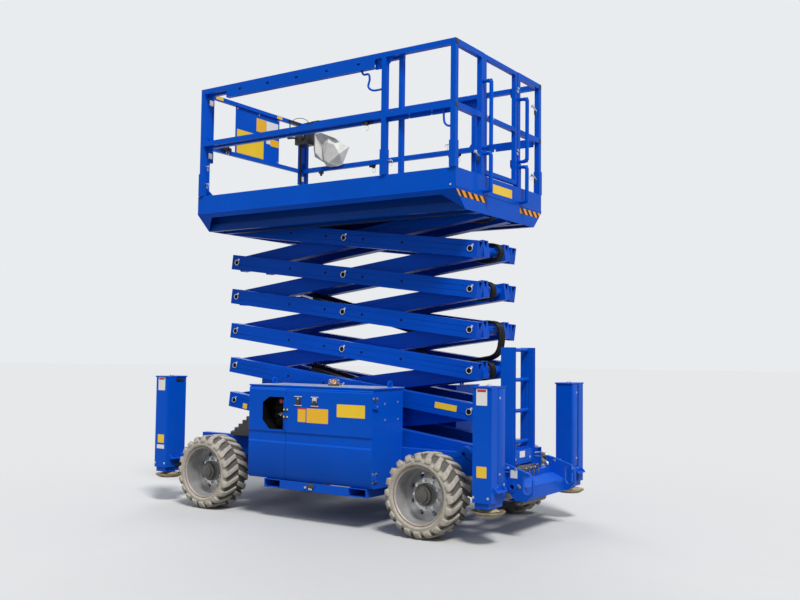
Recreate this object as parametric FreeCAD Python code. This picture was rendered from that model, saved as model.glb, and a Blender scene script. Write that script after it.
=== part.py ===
"""Rough-terrain scissor lift with six arm stages, four stabilisers and a roll-out deck.

All sizes are in millimetres. +X points to the steered front end, +Y to the engine side and
+Z up. Pieces are drawn with x = 0 midway between the axles and are moved by ORIGIN_SHIFT when
they are written, so that the origin lies on the ground under the middle of the whole machine.
"""
import FreeCAD, Part
import math
import os

V = FreeCAD.Vector

# Wheels and axles
WHEELBASE = 2290.0
TYRE_RADIUS = 325.0
TYRE_WIDTH = 295.0
TYRE_OUTER_Y = 878.0
LUGS_PER_SIDE = 16
LUG_BAR_DEPTH = 22.0
LUG_BAR_WIDTH = 40.0
LUG_BAR_SKEW = 46.0
LUG_BAR_SHORT = 4.0
SHOULDER_DROP = 53.0
SHOULDER_WIDTH = 40.0
TYRE_FLATS = 16
RIM_RADIUS = 228.0
RIM_BEAD_STEP = 10.0
RIM_WALL = 8.0
RIM_INSET = 18.0
RIM_BACK_INSET = 22.0
TYRE_SEAT_GAP = 0.3
RIM_DISC_DEPTH = 190.0
RIM_DISC_THICKNESS = 12.0
RIM_HOLES = 8
RIM_HOLE_RADIUS = 20.0
RIM_HOLE_CIRCLE = 152.0
HUB_RADIUS = 62.0
HUB_NOSE = 74.0
HUB_DRUM_RADIUS = 88.0
HUB_DRUM_DEPTH = 30.0
SEAT_GAP = 0.3
SPINDLE_RADIUS = 38.0
AXLE_TUBE_RADIUS = 62.0
DIFF_RADIUS = 112.0
AXLE_POST_WIDTH = 140.0
KINGPIN_INSET = 23.0
KINGPIN_RADIUS = 22.0
KNUCKLE_HALF_WIDTH = 32.0
KNUCKLE_REACH = 105.0
KNUCKLE_EAR = 30.0
KNUCKLE_GAP = 3.0
FORK_HALF_WIDTH = 34.0
STEER_ARM = 175.0
STEER_ARM_HALF_DEPTH = 18.0
STEER_EYE_RADIUS = 24.0
TIE_ROD_RADIUS = 14.0
TIE_ROD_EYE_DEPTH = 32.0

# Scissor arms
STAGES = 6
PIN_BEYOND_AXLE = 138.5
STAGE_PITCH = 328.0
FIRST_PIN_Z = 615.0
ARM_DEPTH = 140.0
ARM_WIDTH = 96.0
ARM_WALL = 8.0
ARM_END = 66.0
ARM_NOTCH_MARGIN = 12.0
ARM_NOTCH_DEPTH = 62.0
ARM_GAP = 8.0
OUTER_ARM_FACE = 336.0
PIN_RADIUS = 25.0
PIN_BORE = 15.0
PIN_GAP = 0.3
PIN_PROUD = 6.0
BOSS_WALL = 10.0
CROSS_TUBE_RADIUS = 38.0
ROLLER_RADIUS = 42.0
ROLLER_GAP = 0.3

# Lift cylinders, placed by arm stage and by the share of the arm's length from its rear pin
CYLINDER_STAGES = ((1, 3), (3, 5))
CYLINDER_FOOT_SHARE = 0.17
CYLINDER_HEAD_SHARE = 0.82
BARREL_RADIUS = 52.0
BARREL_FLOOR = 70.0
ROD_RADIUS = 30.0
ROD_SHOWING = 204.3
ROD_ROOM = 236.3
ROD_INTO_EYE = 20.0
ROLLER_SHAFT = 20.0
EYE_INTO_BARREL = 8.0
ROD_GAP = 0.4
EYE_RADIUS = 52.0
EYE_WIDTH = 84.0
HEAD_EAR_GAP = 12.0
FOOT_PIN_RADIUS = 28.0

# Chassis
RAIL_GAP = 14.0
RAIL_WIDTH = 70.0
RAIL_ABOVE_PIN = 13.0
RAIL_HEIGHT = 178.0
RAIL_WALL = 8.0
RAIL_INTO_REAR = 45.0
RAIL_SHORT_OF_FRONT = 42.0
CROSS_HEIGHT = 45.0
CROSS_WIDTH = 120.0
END_CROSS_INSETS = (60.0, 110.0)
MID_CROSS_PLACES = (-420.0, 560.0)
TRACK_THICKNESS = 14.0
TRACK_REAR = 440.0
EAR_RADIUS = 62.0
FORK_PLACES = (320.0, -570.0)
FORK_WIDTH = 180.0
FORK_HEIGHT = 70.0
FORK_WALL = 6.0
FORK_BOTTOM = 262.0
FORK_INSET = 18.0
FORK_RAIL_THICKNESS = 10.0
COVER_LENGTH = 560.0
COVER_RISE_LENGTH = 244.0
COVER_WIDTH = 138.0
COVER_INSET = 2.0
COVER_HEIGHT = 182.0
COVER_STEPS = 5

# Platform, above the pins of the last stage
DECK_BEHIND_PIN = 108.5
DECK_BEFORE_PIN = 115.5
DECK_HALF_WIDTH = 752.0
DECK_KEEL_HALF_WIDTH = 604.0
KEEL_BELOW_PIN = 54.0
SIDE_ABOVE_KEEL = 141.0
FLOOR_ABOVE_KEEL = 206.0
TOE_HEIGHT = 104.0
FLOOR_THICKNESS = 20.0
DECK_WALL = 5.0
SKIRT_WIDTH = 46.0
SKIRT_CORNER = 150.0
DECK_RIB_DEPTH = 36.0
DECK_RIB_WIDTH = 60.0
DECK_RIBS = 6
STRINGER_DEPTH = 44.0
STRINGER_LIP = 66.0
STRINGER_SETBACK = 22.0
BEAM_GAP = 9.0
BEAM_WIDTH = 70.0
BEAM_WALL = 12.0
DECK_EAR_RADIUS = 45.0
GUARD_HEIGHT = 1111.0
GUARD_MIDDLE_HEIGHT = 616.0
GUARD_TUBE = 45.0
GUARD_OVERHANG = 8.0
GUARD_END_INSET = 6.0
GUARD_FRONT_INSET = 21.0
GUARD_MID_POST_BACK = 710.0
SOCKET_HEIGHT = 210.0
SOCKET_WALL = 6.0
GUSSET = 70.0
GUSSET_THICKNESS = 6.0
GUIDE_DEPTH = 70.0
GUIDE_LIP = 43.0
GUIDE_WALL = 4.0
GUIDE_REAR = -617.0
GUIDE_FRONT = 1057.0
GUIDE_NOTCHES = 5
GUIDE_NOTCH_WIDTH = 34.0
GUIDE_NOTCH_HEIGHT = 22.0
GRAB_RADIUS = 10.0
GRAB_REACH = 75.0
GRAB_SPANS = ((-24.0, 282.0), (328.0, 873.0))
GATE_HALF_WIDTH = 300.0
GATE_TUBE = 38.0
GATE_GAP = 6.0
GATE_BOTTOM_GAP = 20.0
GATE_HINGES = (285.0, 905.0)
GATE_HINGE_HEIGHT = 60.0
GATE_LUG_THICKNESS = 10.0
GATE_LUG_REACH = 30.0
GATE_LUG_PAST = 8.0
GATE_PIN_RADIUS = 7.0
GATE_BARREL_WALL = 6.0
GATE_BARREL_GAP = 2.0
SLIDE_GAP = 8.0
EXTENSION_LENGTH = 2238.0
EXTENSION_FLOOR_THICKNESS = 12.0
EXTENSION_TUBE = 38.0
EXTENSION_DROP = 20.0
SIGN_PANEL_EDGES = (-312.0, 322.0)
SIGN_PANEL_THICKNESS = 5.0
CONSOLE_FRONT_GAP = 45.0
CONSOLE_LENGTH = 168.0
CONSOLE_WIDTH = 140.0
CONSOLE_TOP_DROP = 106.0
CONSOLE_HEIGHT = 152.0
CONSOLE_STRAP = 60.0
CONSOLE_STRAP_THICKNESS = 6.0
CLOTH_DEPTH = 88.0
CLOTH_OUTLINE = (
    (0.0, 345.0), (-211.0, 318.0), (-318.0, 243.0), (-331.0, 210.0), (-462.0, 163.0),
    (-375.0, -33.0), (-245.0, -40.0), (-139.0, -8.0), (0.0, 102.0),
)

# Stabiliser columns
COLUMN_INSET = 35.0
COLUMN_DEPTH = 235.0
COLUMN_WIDTH = 145.0
FRONT_COLUMN_GAP = 182.0
REAR_COLUMN_GAP = 135.0
COLUMN_TOP = 1168.0
COLUMN_BOTTOM = 322.0
COLUMN_WALL = 7.0
CAP_OVERHANG = 8.0
CAP_THICKNESS = 12.0
STRIP_WIDTH = 96.0
STRIP_THICKNESS = 8.0
LEDGE_DEPTH = 44.0
LEDGE_WIDTH = 150.0
LEDGE_Z = 396.0
LEDGE_THICKNESS = 10.0
LEG_GAP = 6.0
LEG_TOP = 1080.0
LEG_NECK = 25.0
LEG_NECK_RADIUS = 40.0
GUIDE_HEIGHT = 60.0
FOOT_RADIUS = 125.0
FOOT_FLAT_RADIUS = 92.0
FOOT_BOTTOM = 226.0
FOOT_THICKNESS = 30.0
FOOT_PLATE = 9.0
OUTRIGGER_BEAM_HEIGHT = 130.0
OUTRIGGER_BEAM_RISE = 25.0
BEAM_INSET = 10.0

# Side boxes
BOX_FACE_INSET = 10.0
BOX_RAIL_GAP = 12.0
BOX_REAR_GAP = 108.0
BOX_FRONT_GAP = 216.0
BOX_BOTTOM = 335.0
BOX_TOP = 1111.0
BOX_WALL = 18.0
BOX_BEVEL = 30.0
BOX_BEVEL_HEIGHT = 44.0
BOX_CORNER_BEVEL = 15.0
BOX_DOOR_LENGTH = 887.0
BOX_SEAM_GAP = 6.0
DOOR_THICKNESS = 36.0
DOOR_MARGIN = 22.0
DOOR_TOP_GAP = 3.0
HINGE_OFFSET = 10.0
HINGE_INSET = 40.0
HINGE_RADIUS = 9.0
HINGE_PIN_RADIUS = 5.0
HINGE_HEIGHT = 40.0
HINGE_LEAF = 6.0
HINGE_MARGINS = (65.0, 150.0)
BAND_ABOVE_BOTTOM = 305.0
BAND_HEIGHT = 98.0
BAND_DEPTH = 9.0
BAND_SLOPE = 14.0
LID_THICKNESS = 12.0
LID_OVERHANG = 9.0
LIFT_EYE_RADIUS = 34.0
LIFT_EYE_BORE = 17.0
LIFT_EYE_INSETS = (52.0, 22.0)
LIFT_EYE_THICKNESS = 12.0
LIFT_EYE_SUNK = 9.0
LIFT_EYE_FACE_INSET = 290.0
WINDOW_WIDTH = 240.0
WINDOW_FRONT_MARGIN = 168.0
WINDOW_ABOVE_BOTTOM = 417.0
WINDOW_HEIGHT = 272.0
WINDOW_NICK = 76.0
WINDOW_NICK_HEIGHTS = (74.0, 50.0)
WINDOW_DEPTH = 130.0
PANEL_MARGIN = 30.0
PANEL_THICKNESS = 40.0
BUTTON_RADIUS = 20.0
BLOCK_REAR_GAP = 90.0
BLOCK_SIDE_GAPS = (60.0, 100.0)
ENGINE_FRONT_GAP = 120.0
ENGINE_TOP_GAP = 198.0
TANK_FRONT_GAP = 150.0
TANK_TOP_GAP = 278.0
BEACON_PLACE = -121.0
BEACON_FACE_INSET = 268.0
BEACON_RADIUS = 50.0
BEACON_FOOT = 12.0
BEACON_HEIGHT = 62.0
BEACON_LIP = 3.0
BEACON_CROWN = 16.0
BOX_BRACKET_WIDTH = 80.0
BOX_BRACKET_INSET = 150.0

# Tie-down plates and ladder at the rear
LUG_REACH = 130.0
LUG_Y = 370.0
LUG_THICKNESS = 30.0
LUG_BOTTOM = 292.0
LUG_TOP = 568.0
LUG_INSET = 12.0
LUG_BACK_STEP = 14.0
LUG_NOSE = 57.0
LUG_CORNER = 34.0
LUG_SLOT_RADIUS = 37.5
LUG_SLOT_REACH = 37.5
LUG_SLOT_IN = 47.5
LUG_SLOT_Z = 420.0
LUG_BOSS_IN = 178.0
LUG_BOSS_Z = 394.0
LUG_BOSS_RADIUS = 42.0
LUG_BOSS_PROUD = 5.0
LUG_HOLE_RADIUS = 18.0
LUG_CUT = 72.0
CHANNEL_DEPTH = 125.0
CHANNEL_BOTTOM = 286.0
CHANNEL_TOP = 386.0
CHANNEL_RISE = 44.0
CHANNEL_SHELF = 30.0
REAR_BEAM_DEPTH = 45.0
LADDER_BEHIND_COLUMN = 5.0
LADDER_HALF_WIDTH = 190.0
LADDER_TOP = 1462.0
STILE_DEPTH = 120.0
STILE_WIDTH = 32.0
STILE_WALL = 6.0
RUNG_RADIUS = 16.0
RUNG_PLACES = (700.0, 950.0, 1200.0, 1442.0)
STEP_BOTTOM = 530.0
STEP_TOP = 668.0
STEP_DROP = 34.0
STEP_INSET = 10.0

AXLE_X = WHEELBASE / 2
KINGPIN_Y = TYRE_OUTER_Y - TYRE_WIDTH - KINGPIN_INSET
TREAD_RADIUS = TYRE_RADIUS - LUG_BAR_DEPTH
BEAD_RADIUS = RIM_RADIUS - RIM_BEAD_STEP
PIN_X = AXLE_X + PIN_BEYOND_AXLE
ARM_LENGTH = math.hypot(2 * PIN_X, STAGE_PITCH)
ARM_ANGLE = math.degrees(math.asin(STAGE_PITCH / ARM_LENGTH))
INNER_ARM_FACE = OUTER_ARM_FACE - ARM_WIDTH - ARM_GAP
LAST_PIN_Z = FIRST_PIN_Z + STAGES * STAGE_PITCH
RAIL_INNER_Y = OUTER_ARM_FACE + RAIL_GAP
RAIL_OUTER_Y = RAIL_INNER_Y + RAIL_WIDTH
RAIL_TOP = FIRST_PIN_Z + RAIL_ABOVE_PIN
RAIL_BOTTOM = RAIL_TOP - RAIL_HEIGHT
CROSS_TOP = RAIL_BOTTOM + CROSS_HEIGHT
FRONT_COLUMN_FACE = AXLE_X + TYRE_RADIUS + FRONT_COLUMN_GAP
REAR_COLUMN_FACE = -(AXLE_X + TYRE_RADIUS + REAR_COLUMN_GAP)
FRONT_COLUMN_X = FRONT_COLUMN_FACE + COLUMN_WIDTH / 2
REAR_COLUMN_X = REAR_COLUMN_FACE - COLUMN_WIDTH / 2
COLUMN_OUTER_Y = TYRE_OUTER_Y - COLUMN_INSET
COLUMN_INNER_Y = COLUMN_OUTER_Y - COLUMN_DEPTH
COLUMN_Y = COLUMN_OUTER_Y - COLUMN_DEPTH / 2
RAIL_REAR = REAR_COLUMN_FACE + RAIL_INTO_REAR
RAIL_FRONT = FRONT_COLUMN_FACE - RAIL_SHORT_OF_FRONT
CROSS_PLACES = (RAIL_REAR + END_CROSS_INSETS[0],) + MID_CROSS_PLACES + (
    RAIL_FRONT - END_CROSS_INSETS[1],)
BEAM_BOTTOM = RAIL_BOTTOM + OUTRIGGER_BEAM_RISE - OUTRIGGER_BEAM_HEIGHT
BEAM_TOP = RAIL_BOTTOM + OUTRIGGER_BEAM_RISE
BOX_FACE_Y = TYRE_OUTER_Y - BOX_FACE_INSET
BOX_INNER_Y = RAIL_OUTER_Y + BOX_RAIL_GAP
BOX_REAR = -(AXLE_X - TYRE_RADIUS - BOX_REAR_GAP)
BOX_FRONT = AXLE_X - TYRE_RADIUS - BOX_FRONT_GAP
BOX_SEAM_X = BOX_REAR + BOX_DOOR_LENGTH
DOOR_BACK_Y = BOX_FACE_Y - DOOR_THICKNESS - SEAT_GAP
HINGE_X = BOX_REAR - HINGE_OFFSET
HINGE_Y = BOX_FACE_Y - HINGE_INSET
FORK_HALF_LENGTH = TYRE_OUTER_Y - FORK_INSET
WINDOW_FRONT = BOX_FRONT - WINDOW_FRONT_MARGIN
WINDOW_REAR = WINDOW_FRONT - WINDOW_WIDTH
WINDOW_BOTTOM = BOX_BOTTOM + WINDOW_ABOVE_BOTTOM
WINDOW_TOP = WINDOW_BOTTOM + WINDOW_HEIGHT
KEEL_Z = LAST_PIN_Z - KEEL_BELOW_PIN
SIDE_BOTTOM = KEEL_Z + SIDE_ABOVE_KEEL
FLOOR_TOP = KEEL_Z + FLOOR_ABOVE_KEEL
FLOOR_BOTTOM = FLOOR_TOP - FLOOR_THICKNESS
TOE_TOP = FLOOR_TOP + TOE_HEIGHT
DECK_REAR = -PIN_X - DECK_BEHIND_PIN
DECK_FRONT = PIN_X + DECK_BEFORE_PIN
BEAM_INNER_Y = OUTER_ARM_FACE + BEAM_GAP
BEAM_OUTER_Y = BEAM_INNER_Y + BEAM_WIDTH
GUARD_TOP = FLOOR_TOP + GUARD_HEIGHT
GUARD_MIDDLE = FLOOR_TOP + GUARD_MIDDLE_HEIGHT
GUARD_OUTER = DECK_HALF_WIDTH + GUARD_OVERHANG
GUARD_REAR = DECK_REAR + GUARD_END_INSET
GUARD_FRONT = DECK_FRONT - GUARD_FRONT_INSET
EXTENSION_OUTER = GUARD_OUTER - GUARD_TUBE - SLIDE_GAP
EXTENSION_REAR = GUARD_FRONT - EXTENSION_LENGTH
EXTENSION_TOP = GUARD_TOP - EXTENSION_DROP
EXTENSION_MIDDLE = GUARD_MIDDLE - EXTENSION_DROP
LADDER_X = REAR_COLUMN_FACE - LADDER_BEHIND_COLUMN
LUG_TIP = REAR_COLUMN_FACE - COLUMN_WIDTH - LUG_REACH
LUG_ROOT = REAR_COLUMN_FACE - BEAM_INSET - REAR_BEAM_DEPTH
FRONT_REACH = FRONT_COLUMN_X + FOOT_RADIUS
ORIGIN_SHIFT = -(FRONT_REACH + LUG_TIP) / 2


def box(x0, x1, y0, y1, z0, z1):
    """A block between two corners."""
    return Part.makeBox(x1 - x0, y1 - y0, z1 - z0, V(x0, y0, z0))


def bar(start, end, radius):
    """A round bar between two points."""
    line = V(*end).sub(V(*start))
    return Part.makeCylinder(radius, line.Length, V(*start), line)


def ring(start, end, radius, bore):
    """A round tube between two points."""
    return bar(start, end, radius).cut(bar(start, end, bore))


def fuse(shapes):
    """Join solids into one, with the seams between flush faces removed."""
    joined = shapes[0]
    if len(shapes) > 1:
        joined = joined.fuse(list(shapes[1:]))
    return joined.removeSplitter()


def both_sides(shape):
    """A solid and its mirror image across the machine's middle plane."""
    return Part.makeCompound([shape, mirrored(shape)])


def mirrored(shape):
    """The mirror image across the machine's middle plane."""
    return shape.mirror(V(0, 0, 0), V(0, 1, 0))


def prism(points, direction):
    """A flat outline, given as 3-D points, drawn out along a direction."""
    corners = [V(*point) for point in points]
    outline = Part.makePolygon(corners + [corners[0]])
    return Part.Face(outline).extrude(V(*direction))


def side_prism(points, y0, y1):
    """An outline in X and Z drawn out from y0 to y1."""
    return prism([(x, y0, z) for x, z in points], (0, y1 - y0, 0))


def end_prism(points, x0, x1):
    """An outline in Y and Z drawn out from x0 to x1."""
    return prism([(x0, y, z) for y, z in points], (x1 - x0, 0, 0))


def tube_box(x0, x1, y0, y1, z0, z1, wall, along):
    """A rectangular tube, open at both ends along one axis."""
    low = [x0, y0, z0]
    high = [x1, y1, z1]
    for index in range(3):
        if index == along:
            low[index] -= 1.0
            high[index] += 1.0
        else:
            low[index] += wall
            high[index] -= wall
    inside = box(low[0], high[0], low[1], high[1], low[2], high[2])
    return box(x0, x1, y0, y1, z0, z1).cut(inside)


def chassis_frame():
    """Two side tubes, cross members, the front roller tracks and the rear pin ears."""
    rail = tube_box(RAIL_REAR, RAIL_FRONT, RAIL_INNER_Y, RAIL_OUTER_Y, RAIL_BOTTOM, RAIL_TOP,
                    RAIL_WALL, 0)
    ear = fuse([
        bar((-PIN_X, RAIL_INNER_Y, FIRST_PIN_Z), (-PIN_X, RAIL_OUTER_Y, FIRST_PIN_Z), EAR_RADIUS),
        box(-PIN_X - EAR_RADIUS, -PIN_X + EAR_RADIUS, RAIL_INNER_Y, RAIL_OUTER_Y,
            RAIL_BOTTOM, FIRST_PIN_Z),
    ])
    track_top = FIRST_PIN_Z - ROLLER_RADIUS - ROLLER_GAP
    track = box(TRACK_REAR, RAIL_FRONT, INNER_ARM_FACE + ARM_GAP, RAIL_INNER_Y,
                track_top - TRACK_THICKNESS, track_top)
    side = fuse([rail, ear, track])
    bore = bar((-PIN_X, RAIL_INNER_Y - 1, FIRST_PIN_Z), (-PIN_X, RAIL_OUTER_Y + 1, FIRST_PIN_Z),
               PIN_RADIUS + PIN_GAP)
    side = side.cut(bore)
    parts = [side, mirrored(side)]
    for place in CROSS_PLACES:
        parts.append(box(place - CROSS_WIDTH / 2, place + CROSS_WIDTH / 2,
                         -RAIL_INNER_Y, RAIL_INNER_Y, RAIL_BOTTOM, CROSS_TOP))
    return fuse(parts)


def fork_pockets():
    """Two open tubes across the machine, hung from the rails and joined by side plates."""
    pockets = []
    top = FORK_BOTTOM + FORK_HEIGHT
    for place in FORK_PLACES:
        low = place - FORK_WIDTH / 2
        high = place + FORK_WIDTH / 2
        tube = tube_box(low, high, -FORK_HALF_LENGTH, FORK_HALF_LENGTH, FORK_BOTTOM, top,
                        FORK_WALL, 1)
        hanger = box(low, high, RAIL_INNER_Y, RAIL_INNER_Y + RAIL_WALL, top, RAIL_BOTTOM)
        pockets += [tube, hanger, mirrored(hanger)]
    plate = box(FORK_PLACES[1] + FORK_WIDTH / 2, FORK_PLACES[0] - FORK_WIDTH / 2,
                FORK_HALF_LENGTH - FORK_RAIL_THICKNESS, FORK_HALF_LENGTH, FORK_BOTTOM, top)
    return fuse(pockets + [plate, mirrored(plate)])


def outrigger_beams():
    """One box beam across each end, which carries that end's two columns."""
    beams = []
    inset = BEAM_INSET
    for rear, front, start, end in (
            (FRONT_COLUMN_FACE + inset, FRONT_COLUMN_FACE + COLUMN_WIDTH - inset,
             RAIL_FRONT, FRONT_COLUMN_FACE + inset),
            (LUG_ROOT, REAR_COLUMN_FACE - inset, REAR_COLUMN_FACE - inset, RAIL_REAR)):
        beam = box(rear, front, -COLUMN_INNER_Y, COLUMN_INNER_Y, BEAM_BOTTOM, BEAM_TOP)
        tie = box(start, end, RAIL_INNER_Y, RAIL_OUTER_Y, RAIL_BOTTOM, BEAM_TOP)
        beams.append(fuse([beam, tie, mirrored(tie)]))
    return Part.makeCompound(beams)


def column(middle_x, side):
    """One hollow stabiliser column, capped on top and open below."""
    half = COLUMN_WIDTH / 2
    shell = box(middle_x - half, middle_x + half, COLUMN_INNER_Y, COLUMN_OUTER_Y,
                COLUMN_BOTTOM, COLUMN_TOP - CAP_THICKNESS)
    hollow = box(middle_x - half + COLUMN_WALL, middle_x + half - COLUMN_WALL,
                 COLUMN_INNER_Y + COLUMN_WALL, COLUMN_OUTER_Y - COLUMN_WALL,
                 COLUMN_BOTTOM - 1, COLUMN_TOP - CAP_THICKNESS - COLUMN_WALL)
    guide = box(middle_x - half + COLUMN_WALL, middle_x + half - COLUMN_WALL,
                COLUMN_INNER_Y + COLUMN_WALL, COLUMN_OUTER_Y - COLUMN_WALL,
                COLUMN_BOTTOM, COLUMN_BOTTOM + GUIDE_HEIGHT)
    play = COLUMN_WALL + LEG_GAP - SEAT_GAP
    leg_way = box(middle_x - half + play, middle_x + half - play,
                  COLUMN_INNER_Y + play, COLUMN_OUTER_Y - play,
                  COLUMN_BOTTOM - 1, COLUMN_BOTTOM + GUIDE_HEIGHT + 1)
    cap = box(middle_x - half - CAP_OVERHANG, middle_x + half + CAP_OVERHANG,
              COLUMN_INNER_Y - CAP_OVERHANG, COLUMN_OUTER_Y + CAP_OVERHANG,
              COLUMN_TOP - CAP_THICKNESS, COLUMN_TOP)
    back = middle_x - half
    strip_outer = COLUMN_OUTER_Y - STRIP_THICKNESS
    strip = box(back - STRIP_THICKNESS, back, strip_outer - STRIP_WIDTH, strip_outer,
                COLUMN_BOTTOM, COLUMN_TOP - CAP_THICKNESS)
    middle_y = COLUMN_INNER_Y + COLUMN_DEPTH / 2
    ledge = box(back - LEDGE_DEPTH, back, middle_y - LEDGE_WIDTH / 2,
                middle_y + LEDGE_WIDTH / 2, LEDGE_Z, LEDGE_Z + LEDGE_THICKNESS)
    gussets = []
    for edge in (middle_y - LEDGE_WIDTH / 2, middle_y + LEDGE_WIDTH / 2 - LEDGE_THICKNESS):
        top = LEDGE_Z + LEDGE_THICKNESS
        gussets.append(side_prism([(back, top), (back - LEDGE_DEPTH, top),
                                   (back, top + LEDGE_DEPTH)], edge, edge + LEDGE_THICKNESS))
    whole = fuse([shell.cut(hollow), guide.cut(leg_way), cap, strip, ledge] + gussets)
    return whole if side > 0 else mirrored(whole)


COLUMN_PLACES = (
    ("front_left", FRONT_COLUMN_X, 1),
    ("front_right", FRONT_COLUMN_X, -1),
    ("rear_left", REAR_COLUMN_X, 1),
    ("rear_right", REAR_COLUMN_X, -1),
)


def outrigger_columns():
    return Part.makeCompound([column(x, side) for name, x, side in COLUMN_PLACES])


def outrigger_leg(middle_x, side):
    """The sliding leg of one column with its dished foot."""
    half = COLUMN_WIDTH / 2 - COLUMN_WALL - LEG_GAP
    y_low = COLUMN_INNER_Y + COLUMN_WALL + LEG_GAP
    y_high = COLUMN_OUTER_Y - COLUMN_WALL - LEG_GAP
    foot_top = FOOT_BOTTOM + FOOT_THICKNESS
    leg = box(middle_x - half, middle_x + half, y_low, y_high, foot_top + LEG_NECK, LEG_TOP)
    pad = LEG_GAP - SEAT_GAP
    guide = box(middle_x - half - pad, middle_x + half + pad, y_low - pad, y_high + pad,
                LEG_TOP - GUIDE_HEIGHT, LEG_TOP)
    neck = bar((middle_x, COLUMN_Y, FOOT_BOTTOM), (middle_x, COLUMN_Y, foot_top + LEG_NECK),
               LEG_NECK_RADIUS)
    section = [
        (0, 0), (FOOT_FLAT_RADIUS, 0), (FOOT_RADIUS, FOOT_THICKNESS - FOOT_PLATE),
        (FOOT_RADIUS, FOOT_THICKNESS), (FOOT_RADIUS - FOOT_PLATE, FOOT_THICKNESS),
        (FOOT_FLAT_RADIUS - FOOT_PLATE, FOOT_PLATE), (0, FOOT_PLATE),
    ]
    outline = [V(middle_x + r, COLUMN_Y, FOOT_BOTTOM + z) for r, z in section]
    dish = Part.Face(Part.makePolygon(outline + [outline[0]]))
    foot = dish.revolve(V(middle_x, COLUMN_Y, 0), V(0, 0, 1), 360)
    whole = fuse([leg, guide, neck, foot])
    return whole if side > 0 else mirrored(whole)


def lug_slot():
    """The upright oval hole near a tie-down plate's tip."""
    middle = LUG_TIP + LUG_SLOT_IN
    low = LUG_SLOT_Z - LUG_SLOT_REACH
    high = LUG_SLOT_Z + LUG_SLOT_REACH
    ends = [bar((middle, LUG_Y - 1, z), (middle, LUG_Y + LUG_THICKNESS + 1, z), LUG_SLOT_RADIUS)
            for z in (low, high)]
    side = box(middle - LUG_SLOT_RADIUS, middle + LUG_SLOT_RADIUS, LUG_Y - 1,
               LUG_Y + LUG_THICKNESS + 1, low, high)
    return fuse(ends + [side])


def rear_lug_beam():
    """The two tie-down plates behind the rear beam and the channel between them."""
    top = BEAM_TOP
    rise = LUG_TOP - top
    plate = side_prism([
        (REAR_COLUMN_FACE - BEAM_INSET - LUG_INSET, top),
        (REAR_COLUMN_FACE - BEAM_INSET - LUG_INSET, LUG_TOP),
        (LUG_ROOT - LUG_BACK_STEP, LUG_TOP - rise / 9),
        (LUG_TIP + LUG_CORNER, LUG_TOP - rise * 0.7),
        (LUG_TIP + LUG_CORNER * 0.3, LUG_TOP - rise), (LUG_TIP, LUG_TOP - rise - LUG_CORNER),
        (LUG_TIP, LUG_BOTTOM + LUG_NOSE), (LUG_TIP + LUG_NOSE, LUG_BOTTOM),
        (LUG_ROOT - LUG_CUT, LUG_BOTTOM), (LUG_ROOT, LUG_BOTTOM + LUG_CUT), (LUG_ROOT, top),
    ], LUG_Y, LUG_Y + LUG_THICKNESS)
    outer = LUG_Y + LUG_THICKNESS
    boss_x = LUG_TIP + LUG_BOSS_IN
    boss = bar((boss_x, outer, LUG_BOSS_Z), (boss_x, outer + LUG_BOSS_PROUD, LUG_BOSS_Z),
               LUG_BOSS_RADIUS)
    hole = bar((boss_x, LUG_Y - 1, LUG_BOSS_Z), (boss_x, outer + LUG_BOSS_PROUD + 1, LUG_BOSS_Z),
               LUG_HOLE_RADIUS)
    plate = fuse([plate, boss]).cut(hole).cut(lug_slot())
    back = LUG_ROOT - CHANNEL_DEPTH
    shelf = LUG_ROOT - CHANNEL_SHELF
    wall = RAIL_WALL
    high = CHANNEL_TOP + CHANNEL_RISE
    channel = side_prism([
        (LUG_ROOT, CHANNEL_BOTTOM), (back, CHANNEL_BOTTOM), (back, CHANNEL_TOP), (shelf, high),
        (LUG_ROOT, high), (LUG_ROOT, high - wall), (shelf - wall / 4, high - wall),
        (back + wall, CHANNEL_TOP - wall / 2), (back + wall, CHANNEL_BOTTOM + wall),
        (LUG_ROOT, CHANNEL_BOTTOM + wall),
    ], -LUG_Y, LUG_Y)
    return fuse([plate, mirrored(plate), channel])


def ladder():
    """Two channel stiles with round rungs, above a step box on the rear beam."""
    front = LADDER_X + STILE_DEPTH
    inner = LADDER_HALF_WIDTH - STILE_WIDTH
    stile = box(LADDER_X, front, inner, LADDER_HALF_WIDTH, CROSS_TOP, LADDER_TOP)
    channel = box(LADDER_X - 1, front - STILE_WALL, inner + STILE_WALL,
                  LADDER_HALF_WIDTH - STILE_WALL, CROSS_TOP - 1, LADDER_TOP - STILE_WALL)
    stile = stile.cut(channel)
    rungs = []
    middle = LADDER_X + STILE_DEPTH / 2
    for place in RUNG_PLACES:
        rungs.append(bar((middle, -inner - STILE_WALL / 2, place),
                         (middle, inner + STILE_WALL / 2, place), RUNG_RADIUS))
    step = side_prism([
        (LADDER_X + STEP_INSET, STEP_BOTTOM), (front - STEP_INSET, STEP_BOTTOM),
        (front - STEP_INSET, STEP_TOP), (LADDER_X + STEP_INSET, STEP_TOP - STEP_DROP),
    ], -inner, inner)
    return fuse([stile, mirrored(stile), step] + rungs)


def arm_tube(face_y):
    """One arm lying along X from its rear pin at the origin, with notched end plates."""
    y_low = face_y - ARM_WIDTH
    tube = tube_box(-ARM_END, ARM_LENGTH + ARM_END, y_low, face_y,
                    -ARM_DEPTH / 2, ARM_DEPTH / 2, ARM_WALL, 0)
    half = ARM_DEPTH / 2 - ARM_WALL
    low = y_low + ARM_WALL
    high = face_y - ARM_WALL
    middle = (low + high) / 2
    outline = [(low, -half), (high, -half), (high, half), (high - ARM_NOTCH_MARGIN, half),
               (middle, half - ARM_NOTCH_DEPTH), (low + ARM_NOTCH_MARGIN, half), (low, half)]
    ends = []
    for start in (-ARM_END, ARM_LENGTH + ARM_END - ARM_WALL):
        ends.append(end_prism(outline, start, start + ARM_WALL))
    return fuse([tube] + ends)


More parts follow.
